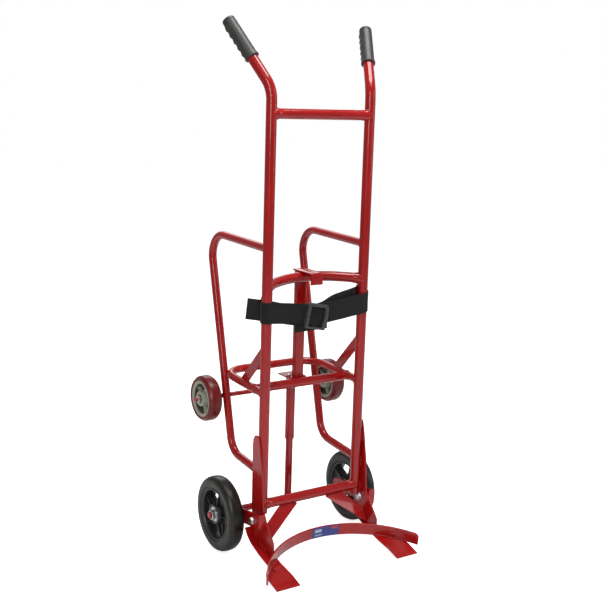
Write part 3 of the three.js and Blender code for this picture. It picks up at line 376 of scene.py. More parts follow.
# ---------- support loops, rear hoop and its front bar
# Bent 24 mm steel tubes: a loop behind each upright, and a level hoop with a thicker bar across its front.
# They are welded to the uprights and where they cross, and carry the rear axle.
LOOP_X, LOOP_R, LOOP_BENDS = 163, 12, [0, 68, 60, 0]
loop_corners = np.array([[0, 902], [343, 912], [184, 261], [0, 245]], float)
HOOP_Z, HOOP_RISE, HOOP_DEPTH, HOOP_R, HOOP_BENDS = 486, 10, 247, 12, [0, 70, 70, 0]
HOOP_BAR_Y, HOOP_BAR_R = 58, 13.5
for name, side in SIDES.items():
    corners = np.column_stack([np.full(4, side * LOOP_X), loop_corners])
    loop_path = rounded(corners, LOOP_BENDS, 20)
    red_steel(f"{name}_loop_tube", [bar(loop_path, X, LOOP_R)], [f"{name}_support_loop"])
hoop_corners = [[-HALF_SPAN, 0, HOOP_Z], [-HALF_SPAN, HOOP_DEPTH, HOOP_Z + HOOP_RISE],
                [HALF_SPAN, HOOP_DEPTH, HOOP_Z + HOOP_RISE], [HALF_SPAN, 0, HOOP_Z]]
hoop_normal = unit([0, -HOOP_RISE, HOOP_DEPTH])
red_steel("rear_hoop_tube", [bar(rounded(hoop_corners, HOOP_BENDS, 20), hoop_normal, HOOP_R)], ["rear_hoop"])
hoop_bar_z = HOOP_Z + HOOP_RISE * HOOP_BAR_Y / HOOP_DEPTH
hoop_bar = np.array([[-HALF_SPAN, HOOP_BAR_Y, hoop_bar_z], [HALF_SPAN, HOOP_BAR_Y, hoop_bar_z]])
red_steel("hoop_front_tube", [bar(hoop_bar, Z, HOOP_BAR_R)], ["hoop_front_bar"])

# ---------- drum arc
# A 36 x 5 mm flat steel bar rolled to the drum's radius, with its upper end corners rounded.
# It is tipped back a little and sunk slightly into the toe plates, where it is welded on.
ARC_R, ARC_THICK, ARC_HEIGHT, ARC_APEX_Y, ARC_END_X, ARC_TILT = 298, 5, 36, -42, 266, math.radians(7.2)
ARC_CORNER, ARC_SUNK, ARC_EDGE = 13, 1.5, 1.3
toe_line = np.array([[-115, 23.5], [-178, 13], [-220, 0]])
TOE_INNER, TOE_OUTER = 170, 245
arc_centre_y = ARC_APEX_Y - ARC_R
arc_half = math.asin(ARC_END_X / (ARC_R + ARC_THICK))
arc_end_y = arc_centre_y + ARC_R * math.cos(arc_half)


def toe_height(y):
    """Height of the toe plates' upper face at a station y, straight on past its first point."""
    slope = (toe_line[0, 1] - toe_line[1, 1]) / (toe_line[0, 0] - toe_line[1, 0])
    return np.where(y > toe_line[1, 0], toe_line[1, 1] + slope * (y - toe_line[1, 0]),
                    np.interp(y, toe_line[::-1, 0], toe_line[::-1, 1]))


arc_seat_y = arc_centre_y + math.sqrt(ARC_R ** 2 - ((TOE_INNER + TOE_OUTER) / 2) ** 2)
arc_foot = float(toe_height(arc_seat_y)) - ARC_SUNK - (arc_seat_y - arc_end_y) * math.tan(ARC_TILT)


def on_arc(radius, angle, height):
    """A point of the arc: round its centre by radius and angle, up by height, then tipped back about the line
    through its ends."""
    y = radius * np.cos(angle) + arc_centre_y - arc_end_y
    return np.stack([radius * np.sin(angle), y * math.cos(ARC_TILT) - height * math.sin(ARC_TILT) + arc_end_y,
                     y * math.sin(ARC_TILT) + height * math.cos(ARC_TILT) + arc_foot], -1)


end_run = ARC_CORNER * (1 - np.cos(np.linspace(0, math.pi / 2, 10)))
angles = arc_half - end_run / ARC_R
angles = np.concatenate([-angles, np.linspace(-angles[-1], angles[-1], 110)[1:-1], angles[::-1]])
from_end = (arc_half - np.abs(angles)) * ARC_R
corner_reach = np.clip(ARC_CORNER - from_end, 0, None)
top = ARC_HEIGHT - ARC_CORNER + np.sqrt(np.clip(ARC_CORNER ** 2 - corner_reach ** 2, 0, None))
edge = rounded([[0, 0], [ARC_THICK, 0], [ARC_THICK, ARC_HEIGHT], [0, ARC_HEIGHT]], ARC_EDGE, 4, closed=True)
lift = edge[:, 1][None] + np.where(edge[:, 1][None] > ARC_HEIGHT / 2, top[:, None] - ARC_HEIGHT, 0)
arc_rows = on_arc(ARC_R + edge[:, 0][None], angles[:, None], lift)
red_steel("drum_arc_bar", [(capped(arc_rows), False, True)], ["drum_arc"])

# ---------- arc label
# A thin printed film, blue with two plain pale blocks and a red one, and no lettering.
# It is stuck on the drum side of the arc, a little off its middle.
LABEL_MIDDLE, LABEL_HALF, LABEL_MARGIN = 0.094, 0.151, 2
label_film = finish("label_film", (0.020, 0.042, 0.21), (0.026, 0.052, 0.25), (0.3, 0.4), 500, 40, 0.00005)
tree = label_film.node_tree
printed = node_in(tree, "UVMap", uv_map="cloth")
place = node_in(tree, "SeparateXYZ", {"Vector": printed.outputs["UV"]})
blocks = [(0.10, 0.36, 0.52, 0.82), (0.10, 0.40, 0.18, 0.30), (0.72, 0.94, 0.68, 0.92)]
block_colours = [(0.42, 0.45, 0.58, 1), (0.30, 0.34, 0.52, 1), (0.45, 0.03, 0.04, 1)]
masks = []
for low, high, floor_level, ceiling in blocks:
    steps = [node_in(tree, "Math", {0: place.outputs[axis], 1: limit}, operation=kind).outputs[0]
             for axis, limit, kind in [("X", low, "GREATER_THAN"), ("X", high, "LESS_THAN"),
                                       ("Y", floor_level, "GREATER_THAN"), ("Y", ceiling, "LESS_THAN")]]
    both = [node_in(tree, "Math", {0: steps[k], 1: steps[k + 1]}, operation="MULTIPLY").outputs[0]
            for k in (0, 2)]
    masks.append(node_in(tree, "Math", {0: both[0], 1: both[1]}, operation="MULTIPLY").outputs[0])
ink = tree.nodes["Principled BSDF"].inputs["Base Color"].links[0].from_socket
for mask, colour in zip(masks, block_colours):
    layer = node_in(tree, "Mix", {"Factor": mask, MIX_A: ink, MIX_B: colour}, data_type="RGBA")
    ink = layer.outputs[MIX_RESULT]
tree.links.new(ink, tree.nodes["Principled BSDF"].inputs["Base Color"])
u, v = np.meshgrid(np.linspace(0, 1, 31), np.linspace(0, 1, 5), indexing="ij")
label_angle = LABEL_MIDDLE + LABEL_HALF * (2 * u - 1)
label_height = LABEL_MARGIN + (ARC_HEIGHT - 2 * LABEL_MARGIN) * v
face, hidden = (on_arc(radius, label_angle, label_height) for radius in (ARC_R - 0.5, ARC_R + 0.2))


def there_and_back(grid):
    """A grid's columns, then the same in reverse, then the first again, to wrap a film's two faces."""
    return np.concatenate([grid, grid[:, ::-1], grid[:, :1]], axis=1)


rows = np.concatenate([face, hidden[:, ::-1], face[:, :1]], axis=1)
label_uv = np.stack([there_and_back(u), there_and_back(v)], -1)
ends_uv = np.concatenate([label_uv[:1], label_uv, label_uv[-1:]]).reshape(-1, 2)
film = capped(rows), False, False
make_piece("arc_label_film", [film], label_film, "frame", ["arc_label"], across=ends_uv)

# ---------- sheared plates: toes, heels, ribs, braces
# Flat 5 mm steel plates, cut and bent, with edges softened by the red coat.
# They are welded between the tubes and the arc, and the brackets are bolted through the ribs.
PLATE_EDGES = {"toe_plate": 0.7, "heel_strip": 0.9, "leg_rib": 0.9, "toe_brace": 0.8, "hoop_brace": 0.9,
               "axle_bracket": 1.1}
MERGE, FLAT_ANGLE, EDGE_ANGLE, FLAT_WEIGHT = 1e-5, math.radians(1), math.radians(28), 80


def softened(node, name, width, body="frame"):
    """A CAD plate's own faces, merged and with flats joined, so that a bevel can round the edges."""
    mesh = frame["nodes"][node].data.copy()
    mesh.name = name
    work = bmesh.new()
    work.from_mesh(mesh)
    bmesh.ops.remove_doubles(work, verts=work.verts, dist=MERGE)
    bmesh.ops.dissolve_limit(work, angle_limit=FLAT_ANGLE, verts=work.verts, edges=work.edges)
    bmesh.ops.recalc_face_normals(work, faces=work.faces)
    work.to_mesh(mesh)
    work.free()
    mesh.shade_smooth()
    mesh.materials.clear()
    mesh.materials.append(red_paint)
    piece = bpy.data.objects.new(name, mesh)
    scene.collection.objects.link(piece)
    rounding = piece.modifiers.new("rounding", "BEVEL")
    rounding.width = width / 1000
    rounding.segments = 2
    rounding.limit_method = "ANGLE"
    rounding.angle_limit = EDGE_ANGLE
    evened = piece.modifiers.new("evened", "WEIGHTED_NORMAL")
    evened.weight = FLAT_WEIGHT
    evened.keep_sharp = True
    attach(piece, body)
    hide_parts(node)


for name in SIDES:
    for part, width in PLATE_EDGES.items():
        softened(f"{name}_{part}", f"{name}_{part}_steel", width)

# ---------- weld beads
# Fillet welds under the red coat: a ring of overlapping ripples where one tube meets another, and a straight
# run where plates meet.
BEAD, RIB_X, FIN_X, BRACE_X, AXLE_PLATE_X = 2.3, 179.2, 208.0, 180.0, 186.2


def weld_ring(centre, along, host_way, host_at, tube_r, host_r, bead=BEAD):
    """The curve where a tube's surface enters a host tube: centre + t * along + offset, with t solved so that
    the point lies host_r from the host's line; the bead's own radius ripples round it."""
    centre, along, host_way = np.array(centre, float), unit(along), unit(host_way)
    first = unit(np.cross(along, host_way))
    second = np.cross(first, along)
    angle = round_turn(108)
    offset = tube_r * (np.cos(angle)[:, None] * first + np.sin(angle)[:, None] * second)

    def clear(vectors):
        """Vectors less their part along the host's line."""
        return vectors - (vectors @ host_way)[..., None] * host_way

    step, away = clear(along[None])[0], clear(offset + centre - np.array(host_at, float))
    a, b, c = step @ step, 2 * away @ step, (away ** 2).sum(1) - host_r ** 2
    t = (-b + np.sqrt(np.clip(b * b - 4 * a * c, 0, None))) / (2 * a)
    curve = centre + t[:, None] * along + offset
    ripple = bead * (1 + 0.11 * np.sin(30 * angle) + 0.06 * np.sin(11 * angle + 1))
    return sweep(curve, offset, ripple, 10, closed=True), True, True


def weld_run(points, side, bead=BEAD, pitch=3.1):
    """A bead along straight legs: points every 0.8 mm, radius rising from nothing at both ends, rippling."""
    points = np.array(points, float)
    reach = np.concatenate([[0], np.cumsum(np.linalg.norm(np.diff(points, axis=0), axis=1))])
    s = np.linspace(0, reach[-1], max(int(reach[-1] / 0.8), 8))
    path = np.stack([np.interp(s, reach, points[:, k]) for k in range(3)], -1)
    grow = np.sqrt(np.clip(np.minimum(s, reach[-1] - s) / 3.5, 0, 1))
    ripple = bead * grow * (1 + 0.16 * np.sin(2 * math.pi * s / pitch) + 0.08 * np.sin(2 * math.pi * s / 11))
    return sweep(path, side, ripple, 10), False, True


beads = []
for side in SIDES.values():
    post = np.array([side * HALF_SPAN, 0, 0])
    inward = -side * X
    slope = [-side * HALF_SPAN, 2 * CURVED_BOW, 2 * CURVED_RISE]
    beads += [weld_ring(post + height * Z, way, Z, post, UPRIGHT_R, UPRIGHT_R)
              for height, way in [(UPPER_CROSS, inward), (LOWER_CROSS, inward), (CURVED_CROSS, slope)]]
    loop = np.array([side * LOOP_X, 0, 0])
    for (y0, z0), (y1, z1) in [(loop_corners[0], loop_corners[1]), (loop_corners[3], loop_corners[2])]:
        beads.append(weld_ring(loop + z0 * Z, [0, y1 - y0, z1 - z0], Z, post, LOOP_R, UPRIGHT_R))
    beads.append(weld_ring(post + HOOP_Z * Z, [0, HOOP_DEPTH, HOOP_RISE], Z, post, HOOP_R, UPRIGHT_R))
    bar_end = [side * HALF_SPAN, HOOP_BAR_Y, hoop_bar_z]
    beads.append(weld_ring(bar_end, inward, [0, HOOP_DEPTH, HOOP_RISE], bar_end, HOOP_BAR_R, HOOP_R))
    x = np.linspace(TOE_INNER + 1, TOE_OUTER - 1, 24)
    for radius, bead in [(ARC_R - 0.6, 2.6), (ARC_R + ARC_THICK + 0.6, 2.2)]:
        y = arc_centre_y + np.sqrt(radius ** 2 - x ** 2)
        beads.append(weld_run(np.stack([side * x, y, toe_height(y) + 0.6], -1), Z, bead))
    fin_y = arc_centre_y + math.sqrt(ARC_R ** 2 - FIN_X ** 2)
    y = np.linspace(fin_y, fin_y - 27, 12)
    beads.append(weld_run(np.stack([np.full(12, side * FIN_X), y, toe_height(y) + 0.7], -1), Z, 2.4))
    beads.append(weld_run([[side * BRACE_X, -24, 84], [side * BRACE_X, -50, 49]], X, 2.6))
    under_tube = LOWER_CROSS - UPRIGHT_R + 1.5
    beads.append(weld_run([[side * 52, -9, under_tube], [side * 113, -9, under_tube]], Z, 2.2))
    beads += [weld_run([[side * RIB_X, y, z - 17], [side * RIB_X, y, z + 17]], Y, 1.9)
              for z in (150, 232, 312) for y in (-9.4, 9.4)]
    beads += [weld_run([[side * AXLE_PLATE_X, *low], [side * AXLE_PLATE_X, *high]], X, 2.1)
              for low, high in [((-60, 40), (-22, 54.5)), ((-4, 65.5), (8, 78.5))]]
    beads += [weld_run([[side * x, 12, 612], [side * x, 21, 598]], Y, 1.8) for x in (162, 168)]
red_steel("frame_weld_beads", beads, sharp=70)

# ---------- bright fasteners
# Zinc plated steel: a hex bolt through each leg and bracket, with a nylon-insert nut on the inner side.
# The bolts are done up tight, so a little thread stands past each nut.
zinc = finish("zinc", (0.52, 0.53, 0.55), (0.68, 0.69, 0.70), (0.22, 0.38), 700, 60, 0.00006, Metallic=1.0)
nylon = finish("nylon_insert", (0.10, 0.16, 0.34), (0.13, 0.20, 0.40), (0.4, 0.5), 600, 50, 0.00004)


def turned(profile, centre, way=X, around=72):
    """A profile of (radius, station) turned about a line: centre + station * way + radius * ring of
    directions."""
    profile, way = np.asarray(profile, float), unit(way)
    first = unit(np.cross(way, Z if abs(way[2]) < 0.9 else Y))
    second = np.cross(way, first)
    angle = round_turn(around)[:, None]
    ring = np.cos(angle) * first + np.sin(angle) * second
    radius, station = profile.T[..., None, None]
    return np.asarray(centre, float) + station * way + radius * ring[None]


def closed_ring(profile, centre, way=X, around=72):
    """A closed profile turned about a line, as a shell closed both ways."""
    return turned(profile, centre, way, around), True, True


def oblong(low_u, high_u, low_v, high_v, corner, steps=3):
    """A closed rectangle from low to high along both of its axes, its corners rounded by a radius."""
    corners = [[low_u, low_v], [high_u, low_v], [high_u, high_v], [low_u, high_v]]
    return rounded(corners, corner, steps, closed=True)


def hexed(profile, flats, centre, way=X, around=72):
    """A turned profile whose radius stops at the hexagon flats/2 / cos(angle from the middle of a flat)."""
    rings = turned(profile, centre, way, around)
    angle = round_turn(around)
    limit = flats / 2 / np.cos((angle + math.pi / 6) % (math.pi / 3) - math.pi / 6)
    middle = rings.mean(1, keepdims=True)
    reach = np.asarray(profile, float)[:, 0][:, None]
    scale = np.where(reach > 0, np.minimum(reach, limit[None]) / np.maximum(reach, 1e-6), 0)
    return middle + (rings - middle) * scale[..., None]


def zinc_steel(name, shells, nodes=(), body="frame"):
    """A bright plated piece, standing for the named CAD nodes."""
    make_piece(name, shells, zinc, body, nodes)


BOLT_Y, BOLT_Z, BOLT_R, BOLT_FLATS, BOLT_PEAK, THREAD_PITCH = -15, 119, 7, 21, 13, 2
for name, side in SIDES.items():
    way = side * X
    at = np.array([0.0, BOLT_Y, BOLT_Z])
    head = hexed([[0, 205.2], [BOLT_PEAK, 205.2], [BOLT_PEAK, 212.4], [10.1, 214], [6, 214], [0, 213.6]],
                 BOLT_FLATS, at, way)
    stations = np.linspace(166, 172, 36)
    thread = np.column_stack([BOLT_R + 0.35 * np.sin(2 * math.pi * stations / THREAD_PITCH), stations])
    shank = turned(np.vstack([[[0, 165.9], [6, 165.9]], thread, [[BOLT_R, 206], [0, 206]]]), at, way, 48)
    zinc_steel(f"{name}_leg_bolt", [(head, False, True), (shank, False, True)], [f"{name}_bracket_bolt"])
    nut = hexed([[7.1, 180], [10.2, 180], [BOLT_PEAK, 178.6], [BOLT_PEAK, 172], [10.3, 170.8], [9.8, 168.6],
                 [9.0, 168.6], [7.1, 169.4]], BOLT_FLATS, at, way)
    zinc_steel(f"{name}_leg_nut", [(nut, True, True)], [f"{name}_bracket_nut"])
    insert = closed_ring(oblong(6.9, 9.1, 168.1, 170, 0.4), at, way, 48)
    make_piece(f"{name}_nut_insert", [insert], nylon, "frame")

# ---------- front wheels
# Solid black rubber tyres on moulded black hubs with five tapering spokes.
# Each hub has a steel ball bearing pressed in, and turns on the front axle.
TYRE_R, TYRE_HALF, RIM_R = 112, 23, 78
SPOKES, FRONT_SPOKE_TURN = 5, 102
tyre_rubber = finish("tyre_rubber", (0.006, 0.0058, 0.005), (0.013, 0.0125, 0.010), (0.22, 0.36),
                     520, 14, 0.00005, Specular_IOR_Level=0.35)
black_hub = finish("black_hub", (0.009, 0.009, 0.009), (0.016, 0.016, 0.016), (0.3, 0.44), 650, 25, 0.00012)
tyre_profile = rounded([[RIM_R + 0.3, -20.5], [84, -TYRE_HALF], [96, -23.4], [106.5, -21], [111, -12],
                        [TYRE_R, 0], [111, 12], [106.5, 21], [96, 23.4], [84, TYRE_HALF],
                        [RIM_R + 0.3, 20.5]], [1, 3, 9, 9, 8, 30, 8, 9, 9, 3, 1], 5, closed=True)
rim_profile = rounded([[RIM_R, -21.5], [RIM_R, 21.5], [73, 21.5], [70.5, 16], [69, 2], [69, -2], [70.5, -16],
                       [73, -21.5]], [1.5, 1.5, 1.5, 2, 1, 1, 2, 1.5], 4, closed=True)


def squared_oval(around, power):
    """The two reaches of a squared-off oval: cosine and sine, each to a power with its own sign kept."""
    angle = round_turn(around)[None]
    return [np.sign(reach) * np.abs(reach) ** power for reach in (np.cos(angle), np.sin(angle))]


def spoke(centre, turn, inner, outer, widths, depths, around=32):
    """A spoke: squared-off ovals whose width and depth run from the hub's to the rim's."""
    s = np.linspace(0, 1, 14)[:, None]
    across, along_axle = squared_oval(around, 0.55)
    width = (widths[0] + (widths[1] - widths[0]) * s ** 0.8) * across
    depth = (depths[0] + (depths[1] - depths[0]) * s) * along_axle
    radial = np.array([0, math.cos(turn), math.sin(turn)])
    sideways = np.array([0, -math.sin(turn), math.cos(turn)])
    out = (inner + (outer - inner) * s)[..., None] * radial
    grid = centre + out + width[..., None] * sideways + depth[..., None] * X
    return capped(grid), False, True


for name, side in SIDES.items():
    at = FRONT_AXLE + side * FRONT_WHEEL_X * X
    body = f"front_{name}_wheel"
    make_piece(f"front_{name}_tyre_rubber", [closed_ring(tyre_profile, at, X, 128)], tyre_rubber, body,
               [f"front_{name}_tyre"], 50)
    boss = rounded([[23, -22.6], [29, -22.6], [32, -14], [33, 0], [32, 14], [29, 22.6], [23, 22.6]],
                   [1, 2, 4, 8, 4, 2, 1], 4, closed=True)
    shells = [closed_ring(rim_profile, at, X, 128), closed_ring(boss, at, X, 96)]
    for k in range(SPOKES):
        turn = math.radians(FRONT_SPOKE_TURN + 360 / SPOKES * k)
        shells.append(spoke(at, turn, 30, 72, (12.5, 4.2), (7, 10)))
        shells.append(spoke(at, turn, 30, 71, (2.2, 2.0), (17, 14)))
    make_piece(f"front_{name}_hub_moulding", shells, black_hub, body, [f"front_{name}_hub"])
    collar = rounded([[10.4, 21], [14.2, 21], [14.2, 31.5], [10.4, 33]], 0.8, 3, True) * [1, side]
    races = [oblong(19.6, 22.8, -21, 21, 0.8), oblong(10.4, 13.6, -21.4, 21.4, 0.6), collar]
    zinc_steel(f"front_{name}_bearing_races", [closed_ring(race, at) for race in races],
               [f"front_{name}_bearing"], body)
    shield = oblong(13.4, 19.8, -19.8, 19.8, 0.5, 2)
    zinc_steel(f"front_{name}_bearing_shield", [closed_ring(shield, at)], (), body)

# ---------- rear wheels
# Smaller wheels: maroon polyurethane cast on a grey moulded centre with five spokes and a black bush.
# The hollow between rim and boss is a piece of its own, darker than the moulding: painted shade in the
# recess.
REAR_AXLE = ((np.array(joints["rear_left_wheel_spin"]["pos_m"]) - FOOT) @ TURN) * 1000 * [0, 1, 1]
REAR_WHEEL_X, REAR_R, REAR_RIM, REAR_HUB_HALF = 223, 69, 55, 22
REAR_SPOKE_TURN = 110
maroon_tread = finish("maroon_tread", (0.105, 0.006, 0.007), (0.16, 0.009, 0.009), (0.2, 0.32),
                      300, 22, 0.00003, Specular_IOR_Level=0.35)
grey_hub = finish("grey_hub", (0.30, 0.305, 0.235), (0.37, 0.375, 0.295), (0.35, 0.5), 600, 30, 0.00004)
# Painted shade: the same grey moulding darkened to stand for the shadow inside the hub's hollow.
hub_painted_shade = finish("grey_hub_painted_shade", (0.05, 0.054, 0.038), (0.085, 0.09, 0.066), (0.55, 0.7),
                    500, 30, 0.00005)
tread_profile = rounded([[REAR_RIM + 0.3, -21], [62.5, -21], [68.5, -12.5], [REAR_R, 0], [68.5, 12.5],
                         [62.5, 21], [REAR_RIM + 0.3, 21]], [0.8, 2, 3, 30, 3, 2, 0.8], 5, closed=True)
rear_rim_profile = rounded([[REAR_RIM, -19.4], [REAR_RIM, 19.4], [48.5, 19.4], [46, 17], [45.5, -17],
                            [48.5, -19.4]], [1, 1, 1.5, 2, 2, 1.5], 4, closed=True)
for name, side in SIDES.items():
    at = REAR_AXLE + side * REAR_WHEEL_X * X
    body = f"rear_{name}_wheel"
    make_piece(f"rear_{name}_tread_cast", [closed_ring(tread_profile, at, X, 112)], maroon_tread, body,
               [f"rear_{name}_tread"], 50)
    boss = rounded([[13, -21.8], [22.5, -21.8], [25, 0], [22.5, 21.8], [13, 21.8]], [0.8, 1.5, 6, 1.5, 0.8],
                   4, True)
    web = rounded([[22, -2.5], [43.6, -2.5], [43.6, -15], [46.4, -15], [46.4, 15], [43.6, 15], [43.6, 2.5],
                   [22, 2.5]], 0.6, 3, True)
    shells = [closed_ring(rear_rim_profile, at, X, 112), closed_ring(boss, at)]
    # The web and the inner wall of the rim carry the painted shade of the hollow.
    make_piece(f"rear_{name}_hub_web_painted_shade", [closed_ring(web, at)], hub_painted_shade, body)
    for k in range(SPOKES):
        turn = math.radians(REAR_SPOKE_TURN + 360 / SPOKES * k)
        shells.append(spoke(at, turn, 22, 49, (3.4, 2.8), (11, 12)))
    make_piece(f"rear_{name}_hub_moulding", shells, grey_hub, body, [f"rear_{name}_hub"])
    bush = oblong(7.4, 12.6, -22.8, 22.8, 0.7)
    make_piece(f"rear_{name}_bush_sleeve", [closed_ring(bush, at, X, 56)], black_hub, body,
               [f"rear_{name}_bush"])

# ---------- axles, rear washers and split pins
# Round steel bars, painted red like the frame, with their ends rounded off.
# A plated washer, a spacer and a split pin at each end keep the rear wheels on.
FRONT_HALF, REAR_HALF = 275, 263
for name, at, half, radius in [("front", FRONT_AXLE, FRONT_HALF, 10), ("rear", REAR_AXLE, REAR_HALF, 7)]:
    profile = rounded([[0, -half], [radius, -half], [radius, half], [0, half]], [0, 1.6, 1.6, 0], 3)
    red_steel(f"{name}_axle_bar", [(turned(profile, at, X, 48), False, True)], [f"{name}_axle"])
WASHER_GAP, WASHER_THICK, SPLIT_PIN_GAP, PIN_R = 1.6, 2.5, 6.4, 0.9
washer_low = REAR_WHEEL_X + REAR_HUB_HALF + WASHER_GAP
washer_high = washer_low + WASHER_THICK
pin_x = washer_high + SPLIT_PIN_GAP
for name, side in SIDES.items():
    washer = oblong(7.3, 10.4, washer_low, washer_high, 0.4)
    spacer = oblong(7.2, 9.6, washer_high, pin_x - 1.2, 0.4)
    rings = [closed_ring(profile, REAR_AXLE, side * X, 56) for profile in (washer, spacer)]
    zinc_steel(f"rear_{name}_plain_washer", rings, [f"rear_{name}_axle_washer"])
    at = REAR_AXLE + side * pin_x * X
    leg = rounded([at - 15 * Y - PIN_R * X, at + 14 * Y - PIN_R * X, at + 17 * Y - 4 * X], [0, 3, 0], 5)
    other = rounded([at - 15 * Y + PIN_R * X, at + 12 * Y + PIN_R * X, at + 15 * Y + 4 * X], [0, 3, 0], 5)
    angle = round_turn(28)
    eye = at - 18 * Y + 3.0 * np.stack([np.sin(angle), np.cos(angle), 0 * angle], -1)
    eye_ring = sweep(eye, Z, PIN_R + 0.05, 12, closed=True), True, True
    zinc_steel(f"rear_{name}_cotter", [bar(leg, Z, PIN_R, 12), bar(other, Z, PIN_R, 12), eye_ring],
               [f"rear_{name}_split_pin"])

# ---------- post, sliding tubes and drum hook
# A fixed red post stands on the front axle, and a red steel tube slides over it. The square tube in front of
# it carries the bent plate hook for the drum's rim; both tubes are welded to the foot plate.
POST_Y, POST_TOP, POST_R, POST_BORE = 120, 490, 11, 9
SLEEVE_R, SLEEVE_BORE, SLEEVE_FOOT, SLEEVE_TOP = 14, 11.5, 295, 498
HOOK_BOTTOM, HOOK_THICK, HOOK_FRONT, HOOK_LIP, HOOK_REAR, HOOK_HALF = 820.3, 4.2, -2.5, 30, 96.4, 20
SQUARE_Y, SQUARE_HALF, SQUARE_FOOT = 85.4, np.array([15, 10]), 502
post_path = np.array([[0, POST_Y, FRONT_AXLE[2]], [0, POST_Y, POST_TOP]])
red_steel("centre_post", [pipe(post_path, X, POST_R, POST_BORE)], ["post_tube"])
sleeve_path = np.array([[0, POST_Y, SLEEVE_FOOT], [0, POST_Y, SLEEVE_TOP]])
sleeve = pipe(sleeve_path, X, SLEEVE_R, SLEEVE_BORE)
red_steel("sliding_sleeve", [sleeve], ["slider_round_tube"], "hook_slider")


def plan_loop(half, corner, centre):
    """An oblong plan with rounded corners about a centre, as (x, y) points."""
    return np.array(centre) + oblong(-half[0], half[0], -half[1], half[1], corner, 6)


plans = [(plan_loop(SQUARE_HALF, 3.2, (0, SQUARE_Y)), [SQUARE_FOOT, HOOK_BOTTOM]),
         (plan_loop(SQUARE_HALF - 2, 1.4, (0, SQUARE_Y)), [HOOK_BOTTOM, SQUARE_FOOT])]
rows = np.stack([np.column_stack([plan, np.full(len(plan), z)]) for plan, heights in plans for z in heights])
red_steel("sliding_square", [(rows, True, True)], ["slider_square_tube"], "hook_slider")

lip_y, flat_z = HOOK_FRONT + HOOK_THICK / 2, HOOK_BOTTOM + HOOK_THICK / 2
hook_middle = rounded([[0, lip_y, HOOK_BOTTOM - HOOK_LIP], [0, lip_y, flat_z], [0, HOOK_REAR, flat_z]],
                      [0, 4, 0], 8)


def flat_bar(path, half, thick, corner):
    """A flat bar bent along a path in the Y-Z plane: an oblong section of X and the path's own normal."""
    along = unit(np.gradient(path, axis=0))
    normal = np.cross(X, along)
    section = oblong(-half, half, -thick / 2, thick / 2, corner, 4)
    rows = path[:, None] + section[None, :, :1] * X + section[None, :, 1:] * normal[:, None]
    return capped(rows), False, True


seat = np.array([[0, 2.2, HOOK_BOTTOM - 0.4], [0, 35.7, HOOK_BOTTOM - 0.4]])
hook_parts = [flat_bar(hook_middle, HOOK_HALF, HOOK_THICK, 0.9), flat_bar(seat, HOOK_HALF - 0.5, 1.2, 0.4)]
red_steel("rim_hook_plate", hook_parts, ["drum_hook"], "hook_slider")
softened("slider_foot_plate", "slider_foot", 0.8, "hook_slider")
LOCK_FLATS, lock_at = 13, np.array([-29.0, SQUARE_Y + 5, 0])
head = hexed([[0, 492.4], [8.6, 492.4], [8.6, 496.6], [6.2, 497.4], [0, 497.4]], LOCK_FLATS, lock_at, Z)
shank = turned([[0, 493], [4, 493], [4, 508.2], [3.3, 509], [0, 509]], lock_at, Z, 32)
zinc_steel("lock_bolt", [(head, False, True), (shank, False, True)], ["slider_lock_bolt"], "hook_slider")
nut = hexed([[4.1, 502], [6.2, 502], [8.6, 503], [8.6, 506.4], [6.2, 507.8], [4.1, 507.8]],
            LOCK_FLATS, lock_at, Z)
zinc_steel("lock_nut", [(nut, True, True)], ["slider_lock_nut"], "hook_slider")
foot_z, front_y = SQUARE_FOOT + 0.6, SQUARE_Y - 10.6
slider_beads = [weld_run([[x, SQUARE_Y - 9, z], [x, SQUARE_Y + 9, z]], Z, 1.8)
                for z in (HOOK_BOTTOM - 1, foot_z) for x in (-15.6, 15.6)]
slider_beads.append(weld_run([[-14, front_y, foot_z], [14, front_y, foot_z]], Z, 1.8))
red_steel("slider_weld_beads", slider_beads, (), "hook_slider", 70)

# ---------- strap keepers
# Bent 6 mm steel wire loops, one behind each upright, in the frame's red.
# They are welded on at both ends and hold the strap at its height.
KEEPER_R, KEEPER_REACH, KEEPER_HEIGHTS = 3, 38, {"left": 727, "right": 738}
for name, side in SIDES.items():
    x, z = side * HALF_SPAN, KEEPER_HEIGHTS[name]
    high, low = z + KEEPER_REACH, z - KEEPER_REACH
    path = rounded([[x, 11, high], [x, 28, high], [x, 28, low], [x, 11, low]], [0, 8, 8, 0], 8)
    feet = [weld_ring([x, 8, end], Y, Z, [x, 0, z], KEEPER_R, UPRIGHT_R, 1.3) for end in (high, low)]
    red_steel(f"{name}_keeper_wire", [bar(path, X, KEEPER_R, 20), *feet], [f"{name}_strap_keeper"])

# ---------- strap
# Black woven webbing 60 mm wide: a run each side of the buckle, wound round the uprights, and a tail behind.
# It lies in slow folds, held by the keepers and pinched in the buckle.
STRAP_WIDTH, STRAP_THICK, STRAP_Z, STRAP_BACK_Z = 60, 2.4, 727, 744
webbing = finish("webbing", (0.0055, 0.0052, 0.005), (0.012, 0.0115, 0.011), (0.62, 0.78), 900, 35, 0.00012,
                 Sheen_Weight=0.05, Sheen_Roughness=0.5, Specular_IOR_Level=0.2)
tree = webbing.node_tree
cloth = node_in(tree, "UVMap", uv_map="cloth").outputs["UV"]
threads = [node_in(tree, "TexWave", {"Vector": cloth, "Scale": scale, "Distortion": waver,
                                               "Detail": 1.0, "Detail Scale": 2.0}, bands_direction=way)
           for scale, waver, way in [(115.0, 0.6, "X"), (150.0, 0.4, "Y")]]
weave = node_in(tree, "Math", {k: threads[k].outputs["Fac"] for k in (0, 1)}, operation="MULTIPLY")
relief = next(node for node in tree.nodes if node.type == "BUMP")
weave_relief = node_in(tree, "Bump", {"Height": weave.outputs[0], "Strength": 0.9,
                                                "Distance": 0.0006, "Normal": relief.outputs["Normal"]})
tree.links.new(weave_relief.outputs["Normal"], tree.nodes["Principled BSDF"].inputs["Normal"])


